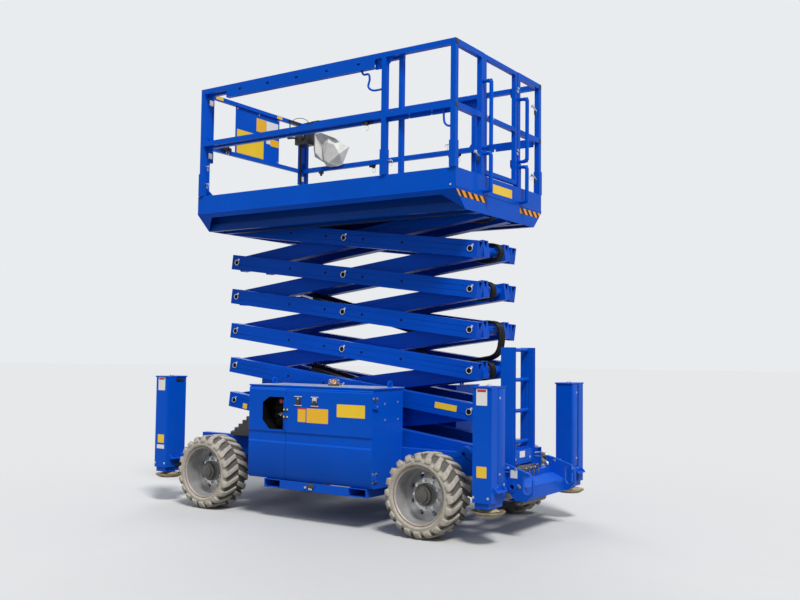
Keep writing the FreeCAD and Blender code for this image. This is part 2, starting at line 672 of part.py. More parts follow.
def in_place(shape, rise, rear_z):
    """Turn an arm by the scissor's angle and set its rear pin at its height."""
    placed = shape.copy()
    placed.rotate(V(0, 0, 0), V(0, 1, 0), -rise * ARM_ANGLE)
    placed.translate(V(-PIN_X, 0, rear_z))
    return placed


PIN_SHARES = (0.0, 0.5, 1.0)


def outer_arm(stage):
    """The near outer arm of a stage, with its three hollow pins fixed in it."""
    tube = arm_tube(OUTER_ARM_FACE)
    pins = []
    bores = []
    for share in PIN_SHARES:
        x = share * ARM_LENGTH
        inner_end = INNER_ARM_FACE - ARM_WIDTH
        outer_end = OUTER_ARM_FACE + PIN_PROUD
        if stage == 1 and share == 0.0:
            inner_end = OUTER_ARM_FACE - ARM_WIDTH
            outer_end = RAIL_OUTER_Y
        if stage == STAGES and share == 1.0:
            inner_end = OUTER_ARM_FACE - ARM_WIDTH
            outer_end = BEAM_OUTER_Y - BEAM_WALL - PIN_PROUD
        pins.append(bar((x, inner_end, 0), (x, outer_end, 0), PIN_RADIUS))
        bores.append(bar((x, inner_end - 1, 0), (x, outer_end + 1, 0), PIN_BORE))
    if stage == STAGES:
        x = ARM_LENGTH
        pins.append(bar((x, BEAM_INNER_Y + 2, 0),
                        (x, BEAM_OUTER_Y - BEAM_WALL - PIN_PROUD, 0),
                        ROLLER_RADIUS))
    return fuse([tube] + pins).cut(fuse(bores))


def outer_arms(stage):
    arm = in_place(outer_arm(stage), 1, FIRST_PIN_Z + (stage - 1) * STAGE_PITCH)
    return both_sides(arm)


def inner_arms(stage):
    """Both inner arms of a stage, joined by the round tubes in line with their end pins."""
    tube = arm_tube(INNER_ARM_FACE)
    inner_end = INNER_ARM_FACE - ARM_WIDTH
    boss_radius = PIN_RADIUS + PIN_GAP + BOSS_WALL
    bosses = []
    bores = []
    for share in PIN_SHARES:
        x = share * ARM_LENGTH
        bosses.append(bar((x, inner_end, 0), (x, INNER_ARM_FACE, 0), boss_radius))
        bores.append(bar((x, inner_end - 1, 0), (x, INNER_ARM_FACE + 1, 0),
                         PIN_RADIUS + PIN_GAP))
    arm = fuse([tube] + bosses).cut(fuse(bores))
    joining = []
    for share in (0.0, 1.0):
        x = share * ARM_LENGTH
        joining.append(ring((x, -inner_end, 0), (x, inner_end, 0), CROSS_TUBE_RADIUS,
                            PIN_RADIUS + PIN_GAP))
    if stage == 1:
        x = ARM_LENGTH
        reach = OUTER_ARM_FACE
        roller = bar((x, INNER_ARM_FACE - ROLLER_SHAFT, 0), (x, reach, 0), ROLLER_RADIUS)
        joining += [roller, mirrored(roller)]
    for foot_stage, head_stage in CYLINDER_STAGES:
        if stage == foot_stage:
            x = CYLINDER_FOOT_SHARE * ARM_LENGTH
            joining.append(bar((x, -inner_end, 0), (x, inner_end, 0), FOOT_PIN_RADIUS))
        if stage == head_stage:
            x = CYLINDER_HEAD_SHARE * ARM_LENGTH
            ear = bar((x, EYE_WIDTH / 2 + HEAD_EAR_GAP, 0), (x, inner_end, 0), EYE_RADIUS)
            joining += [ear, mirrored(ear)]
    whole = fuse([arm, mirrored(arm)] + joining)
    return in_place(whole, -1, FIRST_PIN_Z + stage * STAGE_PITCH)


def cylinder_pins(foot_stage, head_stage):
    """Where a lift cylinder's foot and head pins lie."""
    rise = STAGE_PITCH
    foot = V(-PIN_X + CYLINDER_FOOT_SHARE * 2 * PIN_X, 0,
             FIRST_PIN_Z + (foot_stage - CYLINDER_FOOT_SHARE) * rise)
    head = V(-PIN_X + CYLINDER_HEAD_SHARE * 2 * PIN_X, 0,
             FIRST_PIN_Z + (head_stage - CYLINDER_HEAD_SHARE) * rise)
    return foot, head


def along_cylinder(shape, foot, head):
    """Move a shape drawn along X from the foot pin into the cylinder's line."""
    line = head.sub(foot)
    placed = shape.copy()
    placed.rotate(V(0, 0, 0), V(0, 1, 0), -math.degrees(math.atan2(line.z, line.x)))
    placed.translate(foot)
    return placed


def lift_barrel(foot_stage, head_stage):
    """The cylinder tube with the eye that holds the foot pin."""
    foot, head = cylinder_pins(foot_stage, head_stage)
    eye = ring((0, -EYE_WIDTH / 2, 0), (0, EYE_WIDTH / 2, 0), EYE_RADIUS,
               FOOT_PIN_RADIUS + PIN_GAP)
    end = head.sub(foot).Length - EYE_RADIUS - ROD_SHOWING
    tube = ring((BARREL_FLOOR, 0, 0), (end, 0, 0), BARREL_RADIUS, ROD_RADIUS + ROD_GAP)
    floor = bar((EYE_RADIUS - EYE_INTO_BARREL, 0, 0), (BARREL_FLOOR, 0, 0), BARREL_RADIUS)
    clear = bar((0, -EYE_WIDTH, 0), (0, EYE_WIDTH, 0), FOOT_PIN_RADIUS + PIN_GAP)
    return along_cylinder(fuse([eye, tube, floor]).cut(clear), foot, head)


def lift_rod(foot_stage, head_stage):
    """The bright rod with its head eye."""
    foot, head = cylinder_pins(foot_stage, head_stage)
    length = head.sub(foot).Length
    rod = bar((BARREL_FLOOR + ROD_ROOM, 0, 0), (length - ROD_INTO_EYE, 0, 0), ROD_RADIUS)
    eye = ring((length, -EYE_WIDTH / 2, 0), (length, EYE_WIDTH / 2, 0), EYE_RADIUS,
               FOOT_PIN_RADIUS)
    clear = bar((length, -EYE_WIDTH, 0), (length, EYE_WIDTH, 0), FOOT_PIN_RADIUS)
    return along_cylinder(fuse([rod, eye]).cut(clear), foot, head)


def skirt_band(start, end, low_start, low_end):
    """A thin plate in the sloped plane under a side board, given its depth at both ends."""
    slope = V(0, DECK_KEEL_HALF_WIDTH - DECK_HALF_WIDTH, KEEL_Z - SIDE_BOTTOM)
    length = slope.Length
    slope.multiply(1 / length)
    edge = V(0, DECK_HALF_WIDTH, SIDE_BOTTOM)
    corners = []
    for x, depth in ((start, 0), (end, 0), (end, low_end), (start, low_start)):
        corners.append(edge.add(V(slope).multiply(depth)).add(V(x, 0, 0)))
    normal = V(0, slope.z, -slope.y)
    return prism([tuple(corner) for corner in corners], tuple(normal.multiply(DECK_WALL)))


def platform_deck():
    """Deck skin: floor, toe boards, keel-shaped end plates and the sloped skirt."""
    end_outline = [
        (-DECK_HALF_WIDTH, TOE_TOP), (-DECK_HALF_WIDTH, SIDE_BOTTOM),
        (-DECK_KEEL_HALF_WIDTH, KEEL_Z), (DECK_KEEL_HALF_WIDTH, KEEL_Z),
        (DECK_HALF_WIDTH, SIDE_BOTTOM), (DECK_HALF_WIDTH, TOE_TOP),
    ]
    rear_plate = end_prism(end_outline, DECK_REAR, DECK_REAR + DECK_WALL)
    front_outline = [(y, min(z, FLOOR_TOP)) for y, z in end_outline]
    front_plate = end_prism(front_outline, DECK_FRONT - DECK_WALL, DECK_FRONT)
    side_board = box(DECK_REAR, DECK_FRONT, DECK_HALF_WIDTH - DECK_WALL, DECK_HALF_WIDTH,
                     SIDE_BOTTOM, TOE_TOP)
    floor = box(DECK_REAR, DECK_FRONT, -DECK_HALF_WIDTH, DECK_HALF_WIDTH,
                FLOOR_BOTTOM, FLOOR_TOP)
    keel_depth = math.hypot(DECK_HALF_WIDTH - DECK_KEEL_HALF_WIDTH, SIDE_BOTTOM - KEEL_Z)
    side = [
        side_board,
        skirt_band(DECK_REAR, DECK_FRONT, SKIRT_WIDTH, SKIRT_WIDTH),
        skirt_band(DECK_REAR, DECK_REAR + SKIRT_CORNER, keel_depth, SKIRT_WIDTH),
        skirt_band(DECK_FRONT - SKIRT_CORNER, DECK_FRONT, SKIRT_WIDTH, keel_depth),
    ]
    return fuse([rear_plate, front_plate, floor] + side + [mirrored(s) for s in side])


def deck_beams():
    """The beams under the floor: roller beams, lipped stringers, ribs and the pin ears."""
    rear = DECK_REAR + DECK_WALL
    front = DECK_FRONT - DECK_WALL
    beam = box(rear, front, BEAM_INNER_Y, BEAM_OUTER_Y, KEEL_Z, FLOOR_BOTTOM)
    roller_slot = box(TRACK_REAR, front + 1, BEAM_INNER_Y - 1, BEAM_OUTER_Y - BEAM_WALL,
                      LAST_PIN_Z - ROLLER_RADIUS - ROLLER_GAP,
                      LAST_PIN_Z + ROLLER_RADIUS + ROLLER_GAP)
    beam = beam.cut(roller_slot)
    web_inner = DECK_KEEL_HALF_WIDTH - STRINGER_DEPTH
    web_outer = DECK_KEEL_HALF_WIDTH - STRINGER_SETBACK
    web = box(rear, front, web_inner, web_outer, KEEL_Z, FLOOR_BOTTOM)
    lip = box(rear, front, web_outer, DECK_KEEL_HALF_WIDTH, KEEL_Z, KEEL_Z + STRINGER_LIP)
    ear_low = INNER_ARM_FACE + ARM_GAP
    ear = fuse([
        bar((-PIN_X, ear_low, LAST_PIN_Z), (-PIN_X, BEAM_INNER_Y, LAST_PIN_Z),
            DECK_EAR_RADIUS),
        box(-PIN_X - DECK_EAR_RADIUS, -PIN_X + DECK_EAR_RADIUS, ear_low, BEAM_INNER_Y,
            LAST_PIN_Z, FLOOR_BOTTOM),
    ])
    pin = bar((-PIN_X, INNER_ARM_FACE - ARM_WIDTH, LAST_PIN_Z),
              (-PIN_X, BEAM_INNER_Y, LAST_PIN_Z), PIN_RADIUS)
    side = [beam, web, lip, ear, pin]
    ribs = []
    step = (DECK_FRONT - DECK_REAR) / (DECK_RIBS + 1)
    for index in range(1, DECK_RIBS + 1):
        place = DECK_REAR + index * step
        inner = DECK_HALF_WIDTH - DECK_WALL
        ribs.append(box(place - DECK_RIB_WIDTH / 2, place + DECK_RIB_WIDTH / 2,
                        -inner, inner, FLOOR_BOTTOM - DECK_RIB_DEPTH, FLOOR_BOTTOM))
    return fuse(side + [mirrored(s) for s in side] + ribs)


def post_socket(x0, x1, y0, y1):
    """The sleeve round a post's foot."""
    return box(x0, x1, y0, y1, TOE_TOP, TOE_TOP + SOCKET_HEIGHT)


def grab_handle(y, span):
    """A round grab bar behind a gate post."""
    low = FLOOR_TOP + span[0]
    high = FLOOR_TOP + span[1]
    out = GUARD_REAR - GRAB_REACH
    parts = [bar((out, y, low - GRAB_RADIUS), (out, y, high + GRAB_RADIUS), GRAB_RADIUS)]
    for z in (low, high):
        root = DECK_REAR if z < TOE_TOP + GRAB_RADIUS else GUARD_REAR + GRAB_RADIUS
        parts.append(bar((root, y, z), (out - GRAB_RADIUS / 2, y, z), GRAB_RADIUS))
    return fuse(parts)


def guide_channel():
    """The notched guide under a side's top rail, which the roll-out rails run along."""
    top = GUARD_TOP - GUARD_TUBE
    low = top - GUIDE_DEPTH
    plate = box(GUIDE_REAR, GUIDE_FRONT, GUARD_OUTER - GUIDE_WALL, GUARD_OUTER, low, top)
    lip = box(GUIDE_REAR, GUIDE_FRONT, GUARD_OUTER - GUIDE_LIP, GUARD_OUTER, low,
              low + GUIDE_WALL)
    cuts = []
    step = (GUIDE_FRONT - GUIDE_REAR) / GUIDE_NOTCHES
    for index in range(GUIDE_NOTCHES):
        middle = GUIDE_FRONT - (index + 0.5) * step
        cuts.append(box(middle - GUIDE_NOTCH_WIDTH / 2, middle + GUIDE_NOTCH_WIDTH / 2,
                        GUARD_OUTER - GUIDE_WALL - 1, GUARD_OUTER + 1,
                        top - GUIDE_NOTCH_HEIGHT, top))
    return fuse([plate, lip]).cut(fuse(cuts))


def main_rails():
    """The fixed guard rails: two sides and the rear end with the entry gap."""
    t = GUARD_TUBE
    outer = GUARD_OUTER
    wall = SOCKET_WALL
    side = [
        box(GUARD_REAR, GUARD_FRONT, outer - t, outer, GUARD_TOP - t, GUARD_TOP),
        box(GUARD_REAR, GUARD_FRONT, outer - t, outer, GUARD_MIDDLE - t, GUARD_MIDDLE),
        guide_channel(),
    ]
    middle_post = -GUARD_MID_POST_BACK - t / 2
    for place in (GUARD_REAR, middle_post, GUARD_FRONT - t):
        side.append(box(place, place + t, outer - t, outer, TOE_TOP, GUARD_TOP))
        side.append(post_socket(place - wall, place + t + wall, outer - t, outer + wall))
    side.append(box(GUARD_REAR, GUARD_REAR + t, GATE_HALF_WIDTH, GATE_HALF_WIDTH + t,
                    TOE_TOP, GUARD_TOP))
    side.append(post_socket(GUARD_REAR - wall, GUARD_REAR + t, GATE_HALF_WIDTH,
                            GATE_HALF_WIDTH + t + wall))
    for top in (GUARD_TOP, GUARD_MIDDLE):
        side.append(box(GUARD_REAR, GUARD_REAR + t, GATE_HALF_WIDTH, outer, top - t, top))
    gusset_y = outer - t / 2 - GUSSET_THICKNESS / 2
    for edge, way in ((middle_post, -1), (middle_post + t, 1)):
        low = GUARD_TOP - t
        side.append(side_prism([(edge, low), (edge + way * GUSSET, low), (edge, low - GUSSET)],
                               gusset_y, gusset_y + GUSSET_THICKNESS))
    for span in GRAB_SPANS:
        side.append(grab_handle(GATE_HALF_WIDTH + t / 2, span))
    half = fuse(side)
    lugs = []
    for rise in GATE_HINGES:
        z = FLOOR_TOP + rise
        x0, y0 = gate_hinge_axis()
        lug = box(GUARD_REAR + t, x0 + GATE_LUG_THICKNESS, y0 - GATE_LUG_REACH,
                  y0 + GATE_LUG_PAST, z - GATE_LUG_THICKNESS, z)
        pin = bar((x0, y0, z - GATE_LUG_THICKNESS), (x0, y0, z + GATE_HINGE_HEIGHT),
                  GATE_PIN_RADIUS)
        lugs.append(fuse([lug, pin]))
    other = fuse([mirrored(half)] + lugs)
    return Part.makeCompound([half, other])


def gate_hinge_axis():
    """Where the gate's upright hinge axis stands, just inside its right-hand post."""
    reach = GATE_PIN_RADIUS + GATE_BARREL_WALL + GATE_BARREL_GAP
    return GUARD_REAR + GUARD_TUBE + reach, -GATE_HALF_WIDTH - 2


def entry_gate():
    """The gate in the rear end, a tube frame with a middle rail."""
    t = GATE_TUBE
    x0 = GUARD_REAR + (GUARD_TUBE - t) / 2
    half = GATE_HALF_WIDTH - GATE_GAP
    bottom = TOE_TOP + GATE_BOTTOM_GAP
    parts = [
        box(x0, x0 + t, -half, -half + t, bottom, GUARD_TOP),
        box(x0, x0 + t, half - t, half, bottom, GUARD_TOP),
    ]
    for top in (GUARD_TOP, GUARD_MIDDLE, bottom + t):
        parts.append(box(x0, x0 + t, -half, half, top - t, top))
    axis_x, axis_y = gate_hinge_axis()
    bores = []
    for rise in GATE_HINGES:
        z = FLOOR_TOP + rise
        low = z + SEAT_GAP
        high = z + GATE_HINGE_HEIGHT
        parts.append(bar((axis_x, axis_y, low), (axis_x, axis_y, high),
                         GATE_PIN_RADIUS + GATE_BARREL_WALL))
        parts.append(box(x0 + t - 3, axis_x + 6, axis_y + 4, -half + 14, low, high))
        bores.append(bar((axis_x, axis_y, low - 1), (axis_x, axis_y, high + 1),
                         GATE_PIN_RADIUS + SEAT_GAP))
    return fuse(parts).cut(fuse(bores))


def extension_deck():
    """The roll-out deck: a floor plate on the main floor and its front toe board."""
    low = FLOOR_TOP + SEAT_GAP
    inner = DECK_HALF_WIDTH - DECK_WALL - SLIDE_GAP
    floor = box(EXTENSION_REAR, DECK_FRONT - DECK_WALL, -inner, inner, low,
                low + EXTENSION_FLOOR_THICKNESS)
    toe = box(DECK_FRONT - 3 * DECK_WALL, DECK_FRONT - DECK_WALL, -inner, inner, low, TOE_TOP)
    return fuse([floor, toe])


def extension_rails():
    """The guard rails that travel with the roll-out deck, inside the fixed ones."""
    t = EXTENSION_TUBE
    outer = EXTENSION_OUTER
    deck_top = FLOOR_TOP + SEAT_GAP + EXTENSION_FLOOR_THICKNESS
    front = GUARD_FRONT
    side = []
    for top in (EXTENSION_TOP, EXTENSION_MIDDLE):
        side.append(box(EXTENSION_REAR, front, outer - t, outer, top - t, top))
    for place in (EXTENSION_REAR, front - t):
        side.append(box(place, place + t, outer - t, outer, deck_top, EXTENSION_TOP))
    half = fuse(side)
    ends = []
    for top in (EXTENSION_TOP, EXTENSION_MIDDLE):
        ends.append(box(front - t, front, -outer, outer, top - t, top))
    return fuse([half, mirrored(half)] + ends)


def sign_panel():
    """The plate between the roll-out deck's front rails, which carries the notices."""
    middle = GUARD_FRONT - EXTENSION_TUBE / 2
    low, high = SIGN_PANEL_EDGES
    return box(middle - SIGN_PANEL_THICKNESS / 2, middle + SIGN_PANEL_THICKNESS / 2, low, high,
               EXTENSION_MIDDLE, EXTENSION_TOP - EXTENSION_TUBE)


def console():
    """The operator's control box, hung by a strap from the right-hand roll-out rail."""
    inner = EXTENSION_OUTER - EXTENSION_TUBE
    front = GUARD_FRONT - CONSOLE_FRONT_GAP
    rear = front - CONSOLE_LENGTH
    top = EXTENSION_TOP - CONSOLE_TOP_DROP
    wall = CONSOLE_STRAP_THICKNESS
    body = box(rear, front, inner - CONSOLE_WIDTH, inner, top - CONSOLE_HEIGHT, top)
    middle = (rear + front) / 2
    low = middle - CONSOLE_STRAP / 2
    high = middle + CONSOLE_STRAP / 2
    strap = [
        box(low, high, inner - wall, inner, top, EXTENSION_TOP + wall),
        box(low, high, inner, EXTENSION_OUTER, EXTENSION_TOP, EXTENSION_TOP + wall),
    ]
    return mirrored(fuse([body] + strap))


def console_cover():
    """The stiff weather cover folded back behind the control box."""
    inner = EXTENSION_OUTER - EXTENSION_TUBE
    start = GUARD_FRONT - CONSOLE_FRONT_GAP - CONSOLE_LENGTH
    points = [(start + x, GUARD_MIDDLE + z) for x, z in CLOTH_OUTLINE]
    return mirrored(side_prism(points, inner - CLOTH_DEPTH, inner))


def box_profile(x0, x1):
    """The side box's solid outline, with bevelled edges along its face."""
    return end_prism([
        (BOX_INNER_Y, BOX_BOTTOM), (BOX_FACE_Y - BOX_BEVEL, BOX_BOTTOM),
        (BOX_FACE_Y, BOX_BOTTOM + BOX_BEVEL_HEIGHT), (BOX_FACE_Y, BOX_TOP - BOX_BEVEL),
        (BOX_FACE_Y - BOX_BEVEL, BOX_TOP), (BOX_INNER_Y, BOX_TOP),
    ], x0, x1)


def box_seam(side):
    """Where the door ends towards the front."""
    return BOX_SEAM_X if side > 0 else BOX_FRONT - DOOR_MARGIN


def box_shell(side):
    """A side box: floor, roof and walls, open where its door closes it."""
    seam = box_seam(side)
    door_top = BOX_TOP - DOOR_MARGIN
    shell = box_profile(BOX_REAR, BOX_FRONT)
    bevel = BOX_CORNER_BEVEL
    corner = prism([(BOX_FRONT + 1, BOX_FACE_Y - bevel - 1, BOX_BOTTOM - 1),
                    (BOX_FRONT + 1, BOX_FACE_Y + 1, BOX_BOTTOM - 1),
                    (BOX_FRONT - bevel - 1, BOX_FACE_Y + 1, BOX_BOTTOM - 1)],
                   (0, 0, BOX_TOP - BOX_BOTTOM + 2))
    step = box(BOX_REAR - 1, seam + BOX_SEAM_GAP, DOOR_BACK_Y, BOX_FACE_Y + 1,
               BOX_BOTTOM - 1, door_top + DOOR_TOP_GAP)
    room = box(BOX_REAR + BOX_WALL, seam - DOOR_MARGIN, BOX_INNER_Y + BOX_WALL, BOX_FACE_Y,
               BOX_BOTTOM + BOX_WALL, door_top - BOX_WALL)
    shell = shell.cut(corner).cut(step).cut(room)
    lid = box(BOX_REAR - LID_OVERHANG, BOX_FRONT + LID_OVERHANG, BOX_INNER_Y - LID_OVERHANG,
              BOX_FACE_Y - BOX_BEVEL + LID_OVERHANG, BOX_TOP, BOX_TOP + LID_THICKNESS)
    shell = fuse([shell, lid])
    if side > 0:
        shell = shell.cut(window_outline(WINDOW_DEPTH))
    shell = shell.cut(band_groove(BOX_REAR - 1, BOX_FRONT + 1))
    hinges = []
    for z in door_hinge_heights():
        hinges.append(bar((HINGE_X, HINGE_Y, z - HINGE_LEAF), (HINGE_X, HINGE_Y, z),
                          HINGE_RADIUS))
        hinges.append(bar((HINGE_X, HINGE_Y, z - HINGE_LEAF),
                          (HINGE_X, HINGE_Y, z + HINGE_HEIGHT), HINGE_PIN_RADIUS))
        hinges.append(box(HINGE_X - HINGE_RADIUS / 2, BOX_REAR, HINGE_Y - HINGE_INSET,
                          HINGE_Y, z - HINGE_LEAF, z))
    shell = fuse([shell] + hinges)
    return shell if side > 0 else mirrored(shell)


def door_hinge_heights():
    """Where the two door hinges' barrels begin."""
    return BOX_BOTTOM + HINGE_MARGINS[0], BOX_TOP - HINGE_MARGINS[1]


def window_outline(depth):
    """The six-sided cut-out in front of the ground controls."""
    low, high = WINDOW_NICK_HEIGHTS
    points = [
        (WINDOW_REAR, WINDOW_BOTTOM), (WINDOW_FRONT - WINDOW_NICK, WINDOW_BOTTOM),
        (WINDOW_FRONT, WINDOW_BOTTOM + low), (WINDOW_FRONT, WINDOW_TOP - high),
        (WINDOW_FRONT - WINDOW_NICK, WINDOW_TOP), (WINDOW_REAR, WINDOW_TOP),
    ]
    return side_prism(points, BOX_FACE_Y - depth, BOX_FACE_Y + 1)


def band_groove(x0, x1):
    """The pressed band that runs along a box and its door."""
    deep = BOX_FACE_Y - BAND_DEPTH
    outside = BOX_FACE_Y + 1
    low = BOX_BOTTOM + BAND_ABOVE_BOTTOM
    high = low + BAND_HEIGHT
    outline = [(outside, low), (deep, low + BAND_SLOPE), (deep, high - BAND_SLOPE),
               (outside, high)]
    return end_prism(outline, x0, x1)


def box_door(side):
    """The door over the side box's room, with hinge barrels behind its rear edge."""
    reach = box(BOX_REAR, box_seam(side), BOX_FACE_Y - DOOR_THICKNESS, BOX_FACE_Y,
                BOX_BOTTOM, BOX_TOP - DOOR_MARGIN)
    door = box_profile(BOX_REAR, BOX_FRONT).common(reach)
    parts = [door.cut(band_groove(BOX_REAR - 1, BOX_FRONT))]
    bores = []
    for z in door_hinge_heights():
        low = z + SEAT_GAP
        high = z + HINGE_HEIGHT
        parts.append(bar((HINGE_X, HINGE_Y, low), (HINGE_X, HINGE_Y, high), HINGE_RADIUS))
        parts.append(box(HINGE_X - HINGE_RADIUS / 2, BOX_REAR, BOX_FACE_Y - DOOR_THICKNESS,
                         BOX_FACE_Y - HINGE_LEAF, low, high))
        bores.append(bar((HINGE_X, HINGE_Y, low - 1), (HINGE_X, HINGE_Y, high + 1),
                         HINGE_PIN_RADIUS + SEAT_GAP))
    door = fuse(parts).cut(fuse(bores))
    return door if side > 0 else mirrored(door)


def control_panel():
    """The ground controls at the back of the window recess."""
    back = BOX_FACE_Y - WINDOW_DEPTH
    face = back + PANEL_THICKNESS
    plate = box(WINDOW_REAR + PANEL_MARGIN, WINDOW_FRONT - WINDOW_NICK, back, face,
                WINDOW_BOTTOM + PANEL_MARGIN, WINDOW_TOP - PANEL_MARGIN)
    button_x = WINDOW_REAR + 3 * PANEL_MARGIN
    button_z = WINDOW_TOP - 3 * PANEL_MARGIN
    button = bar((button_x, face, button_z), (button_x, face + PANEL_MARGIN, button_z),
                 BUTTON_RADIUS)
    return fuse([plate, button])


def engine_block():
    """The engine as one plain block on the box floor."""
    return box(BOX_REAR + BLOCK_REAR_GAP, BOX_SEAM_X - ENGINE_FRONT_GAP,
               BOX_INNER_Y + BLOCK_SIDE_GAPS[0], BOX_FACE_Y - BLOCK_SIDE_GAPS[1],
               BOX_BOTTOM + BOX_WALL, BOX_TOP - ENGINE_TOP_GAP)


def tank_block():
    """The fluid tanks as one plain block on the right-hand box's floor."""
    block = box(BOX_REAR + BLOCK_REAR_GAP, BOX_FRONT - TANK_FRONT_GAP,
                BOX_INNER_Y + BLOCK_SIDE_GAPS[0], BOX_FACE_Y - BLOCK_SIDE_GAPS[1],
                BOX_BOTTOM + BOX_WALL, BOX_TOP - TANK_TOP_GAP)
    return mirrored(block)


def lifting_eyes():
    """Four eyes that stand on the lids, each a thick disc with a bore along the machine."""
    lid_top = BOX_TOP + LID_THICKNESS
    y = BOX_FACE_Y - LIFT_EYE_FACE_INSET
    z = lid_top + LIFT_EYE_RADIUS - LIFT_EYE_SUNK
    eyes = []
    for place in (BOX_FRONT - LIFT_EYE_INSETS[0], BOX_REAR + LIFT_EYE_INSETS[1]):
        far = place + LIFT_EYE_THICKNESS
        disc = ring((place, y, z), (far, y, z), LIFT_EYE_RADIUS, LIFT_EYE_BORE)
        eye = disc.cut(box(place - 1, far + 1, y - LIFT_EYE_RADIUS, y + LIFT_EYE_RADIUS,
                           lid_top - 2 * LIFT_EYE_RADIUS, lid_top))
        eyes.extend([eye, mirrored(eye)])
    return Part.makeCompound(eyes)


def beacon():
    """The amber warning lamp on the engine box."""
    base = V(BEACON_PLACE, BOX_FACE_Y - BEACON_FACE_INSET, BOX_TOP + LID_THICKNESS)
    foot = Part.makeCylinder(BEACON_RADIUS, BEACON_FOOT, base)
    wall = BEACON_RADIUS - BEACON_LIP
    shoulder = BEACON_HEIGHT - BEACON_CROWN
    sleeve = Part.makeCylinder(wall, shoulder, base)
    crown = Part.makeCone(wall, wall - BEACON_CROWN, BEACON_CROWN, base.add(V(0, 0, shoulder)))
    return fuse([foot, sleeve, crown])


def box_mounts():
    """Brackets that carry the side boxes from the rails."""
    brackets = []
    half = BOX_BRACKET_WIDTH / 2
    for place in (BOX_REAR + BOX_BRACKET_INSET, BOX_FRONT - BOX_BRACKET_INSET):
        brackets.append(box(place - half, place + half, RAIL_OUTER_Y, BOX_INNER_Y,
                            RAIL_BOTTOM, RAIL_TOP))
    return brackets


def front_cover():
    """The stepped cover over the hoses on the left rail, in front of the engine box."""
    start = BOX_FRONT + LID_OVERHANG + COVER_INSET
    end = start + COVER_LENGTH
    rise = COVER_HEIGHT / COVER_STEPS
    run = COVER_RISE_LENGTH / COVER_STEPS
    base = RAIL_TOP
    points = [(start, base), (end, base)]
    for index in range(COVER_STEPS):
        points.append((end - index * run, base + (index + 1) * rise))
        if index < COVER_STEPS - 1:
            points.append((end - (index + 1) * run, base + (index + 1) * rise))
    points.append((start, base + COVER_HEIGHT))
    y0 = RAIL_INNER_Y + COVER_INSET
    return side_prism(points, y0, y0 + COVER_WIDTH)


def axle(middle_x, half_length):
    """A round axle beam with its middle housing and the mounts under the rails."""
    beam = bar((middle_x, -half_length, TYRE_RADIUS), (middle_x, half_length, TYRE_RADIUS),
               AXLE_TUBE_RADIUS)
    housing = Part.makeSphere(DIFF_RADIUS, V(middle_x, 0, TYRE_RADIUS))
    half = AXLE_POST_WIDTH / 2
    post = box(middle_x - half, middle_x + half, RAIL_INNER_Y, RAIL_OUTER_Y,
               TYRE_RADIUS, RAIL_BOTTOM)
    return fuse([beam, housing, post, mirrored(post)])


def front_axle():
    """The front axle, with a fork at each end for the kingpin."""
    beam_end = KINGPIN_Y - 2 * FORK_HALF_WIDTH
    whole = axle(AXLE_X, beam_end)
    low = AXLE_X - FORK_HALF_WIDTH
    high = AXLE_X + FORK_HALF_WIDTH
    forks = []
    for z in (TYRE_RADIUS - KNUCKLE_REACH, TYRE_RADIUS + KNUCKLE_REACH - KNUCKLE_EAR):
        forks.append(box(low, high, beam_end - KNUCKLE_EAR / 3, KINGPIN_Y + FORK_HALF_WIDTH,
                         z, z + KNUCKLE_EAR))
    forks.append(box(low, high, beam_end - KNUCKLE_EAR * 4 / 3, beam_end - KNUCKLE_EAR / 3,
                     TYRE_RADIUS - KNUCKLE_REACH, TYRE_RADIUS + KNUCKLE_REACH))
    pin = bar((AXLE_X, KINGPIN_Y, TYRE_RADIUS - KNUCKLE_REACH - 1),
              (AXLE_X, KINGPIN_Y, TYRE_RADIUS + KNUCKLE_REACH + 1), KINGPIN_RADIUS + PIN_GAP)
    return fuse([whole] + forks + [mirrored(f) for f in forks]).cut(fuse([pin, mirrored(pin)]))


def rear_axle():
    """The rear axle, which ends in the wheels' hub spindles."""
    reach = TYRE_OUTER_Y - RIM_DISC_DEPTH
    return fuse([axle(-AXLE_X, reach - AXLE_TUBE_RADIUS),
                 bar((-AXLE_X, -reach + SEAT_GAP, TYRE_RADIUS),
                     (-AXLE_X, reach - SEAT_GAP, TYRE_RADIUS), SPINDLE_RADIUS)])


def knuckle(side):
    """A steering knuckle: the kingpin block, the wheel's spindle and the steering arm."""
    z0 = TYRE_RADIUS - KNUCKLE_REACH + KNUCKLE_EAR + KNUCKLE_GAP
    z1 = TYRE_RADIUS + KNUCKLE_REACH - KNUCKLE_EAR - KNUCKLE_GAP
    half = KNUCKLE_HALF_WIDTH
    body = box(AXLE_X - half, AXLE_X + half, KINGPIN_Y - half, KINGPIN_Y + half, z0, z1)
    pin = bar((AXLE_X, KINGPIN_Y, TYRE_RADIUS - KNUCKLE_REACH),
              (AXLE_X, KINGPIN_Y, TYRE_RADIUS + KNUCKLE_REACH), KINGPIN_RADIUS)
    spindle = bar((AXLE_X, KINGPIN_Y + half / 2, TYRE_RADIUS),
                  (AXLE_X, TYRE_OUTER_Y - RIM_DISC_DEPTH - SEAT_GAP, TYRE_RADIUS),
                  SPINDLE_RADIUS)
    depth = STEER_ARM_HALF_DEPTH
    arm = box(AXLE_X - STEER_ARM, AXLE_X - half / 2, KINGPIN_Y - half / 2,
              KINGPIN_Y + half / 2, TYRE_RADIUS - depth, TYRE_RADIUS + depth)
    eye = bar((AXLE_X - STEER_ARM, KINGPIN_Y, TYRE_RADIUS - depth),
              (AXLE_X - STEER_ARM, KINGPIN_Y, TYRE_RADIUS + depth), STEER_EYE_RADIUS)
    whole = fuse([body, pin, spindle, arm, eye])
    return whole if side > 0 else mirrored(whole)


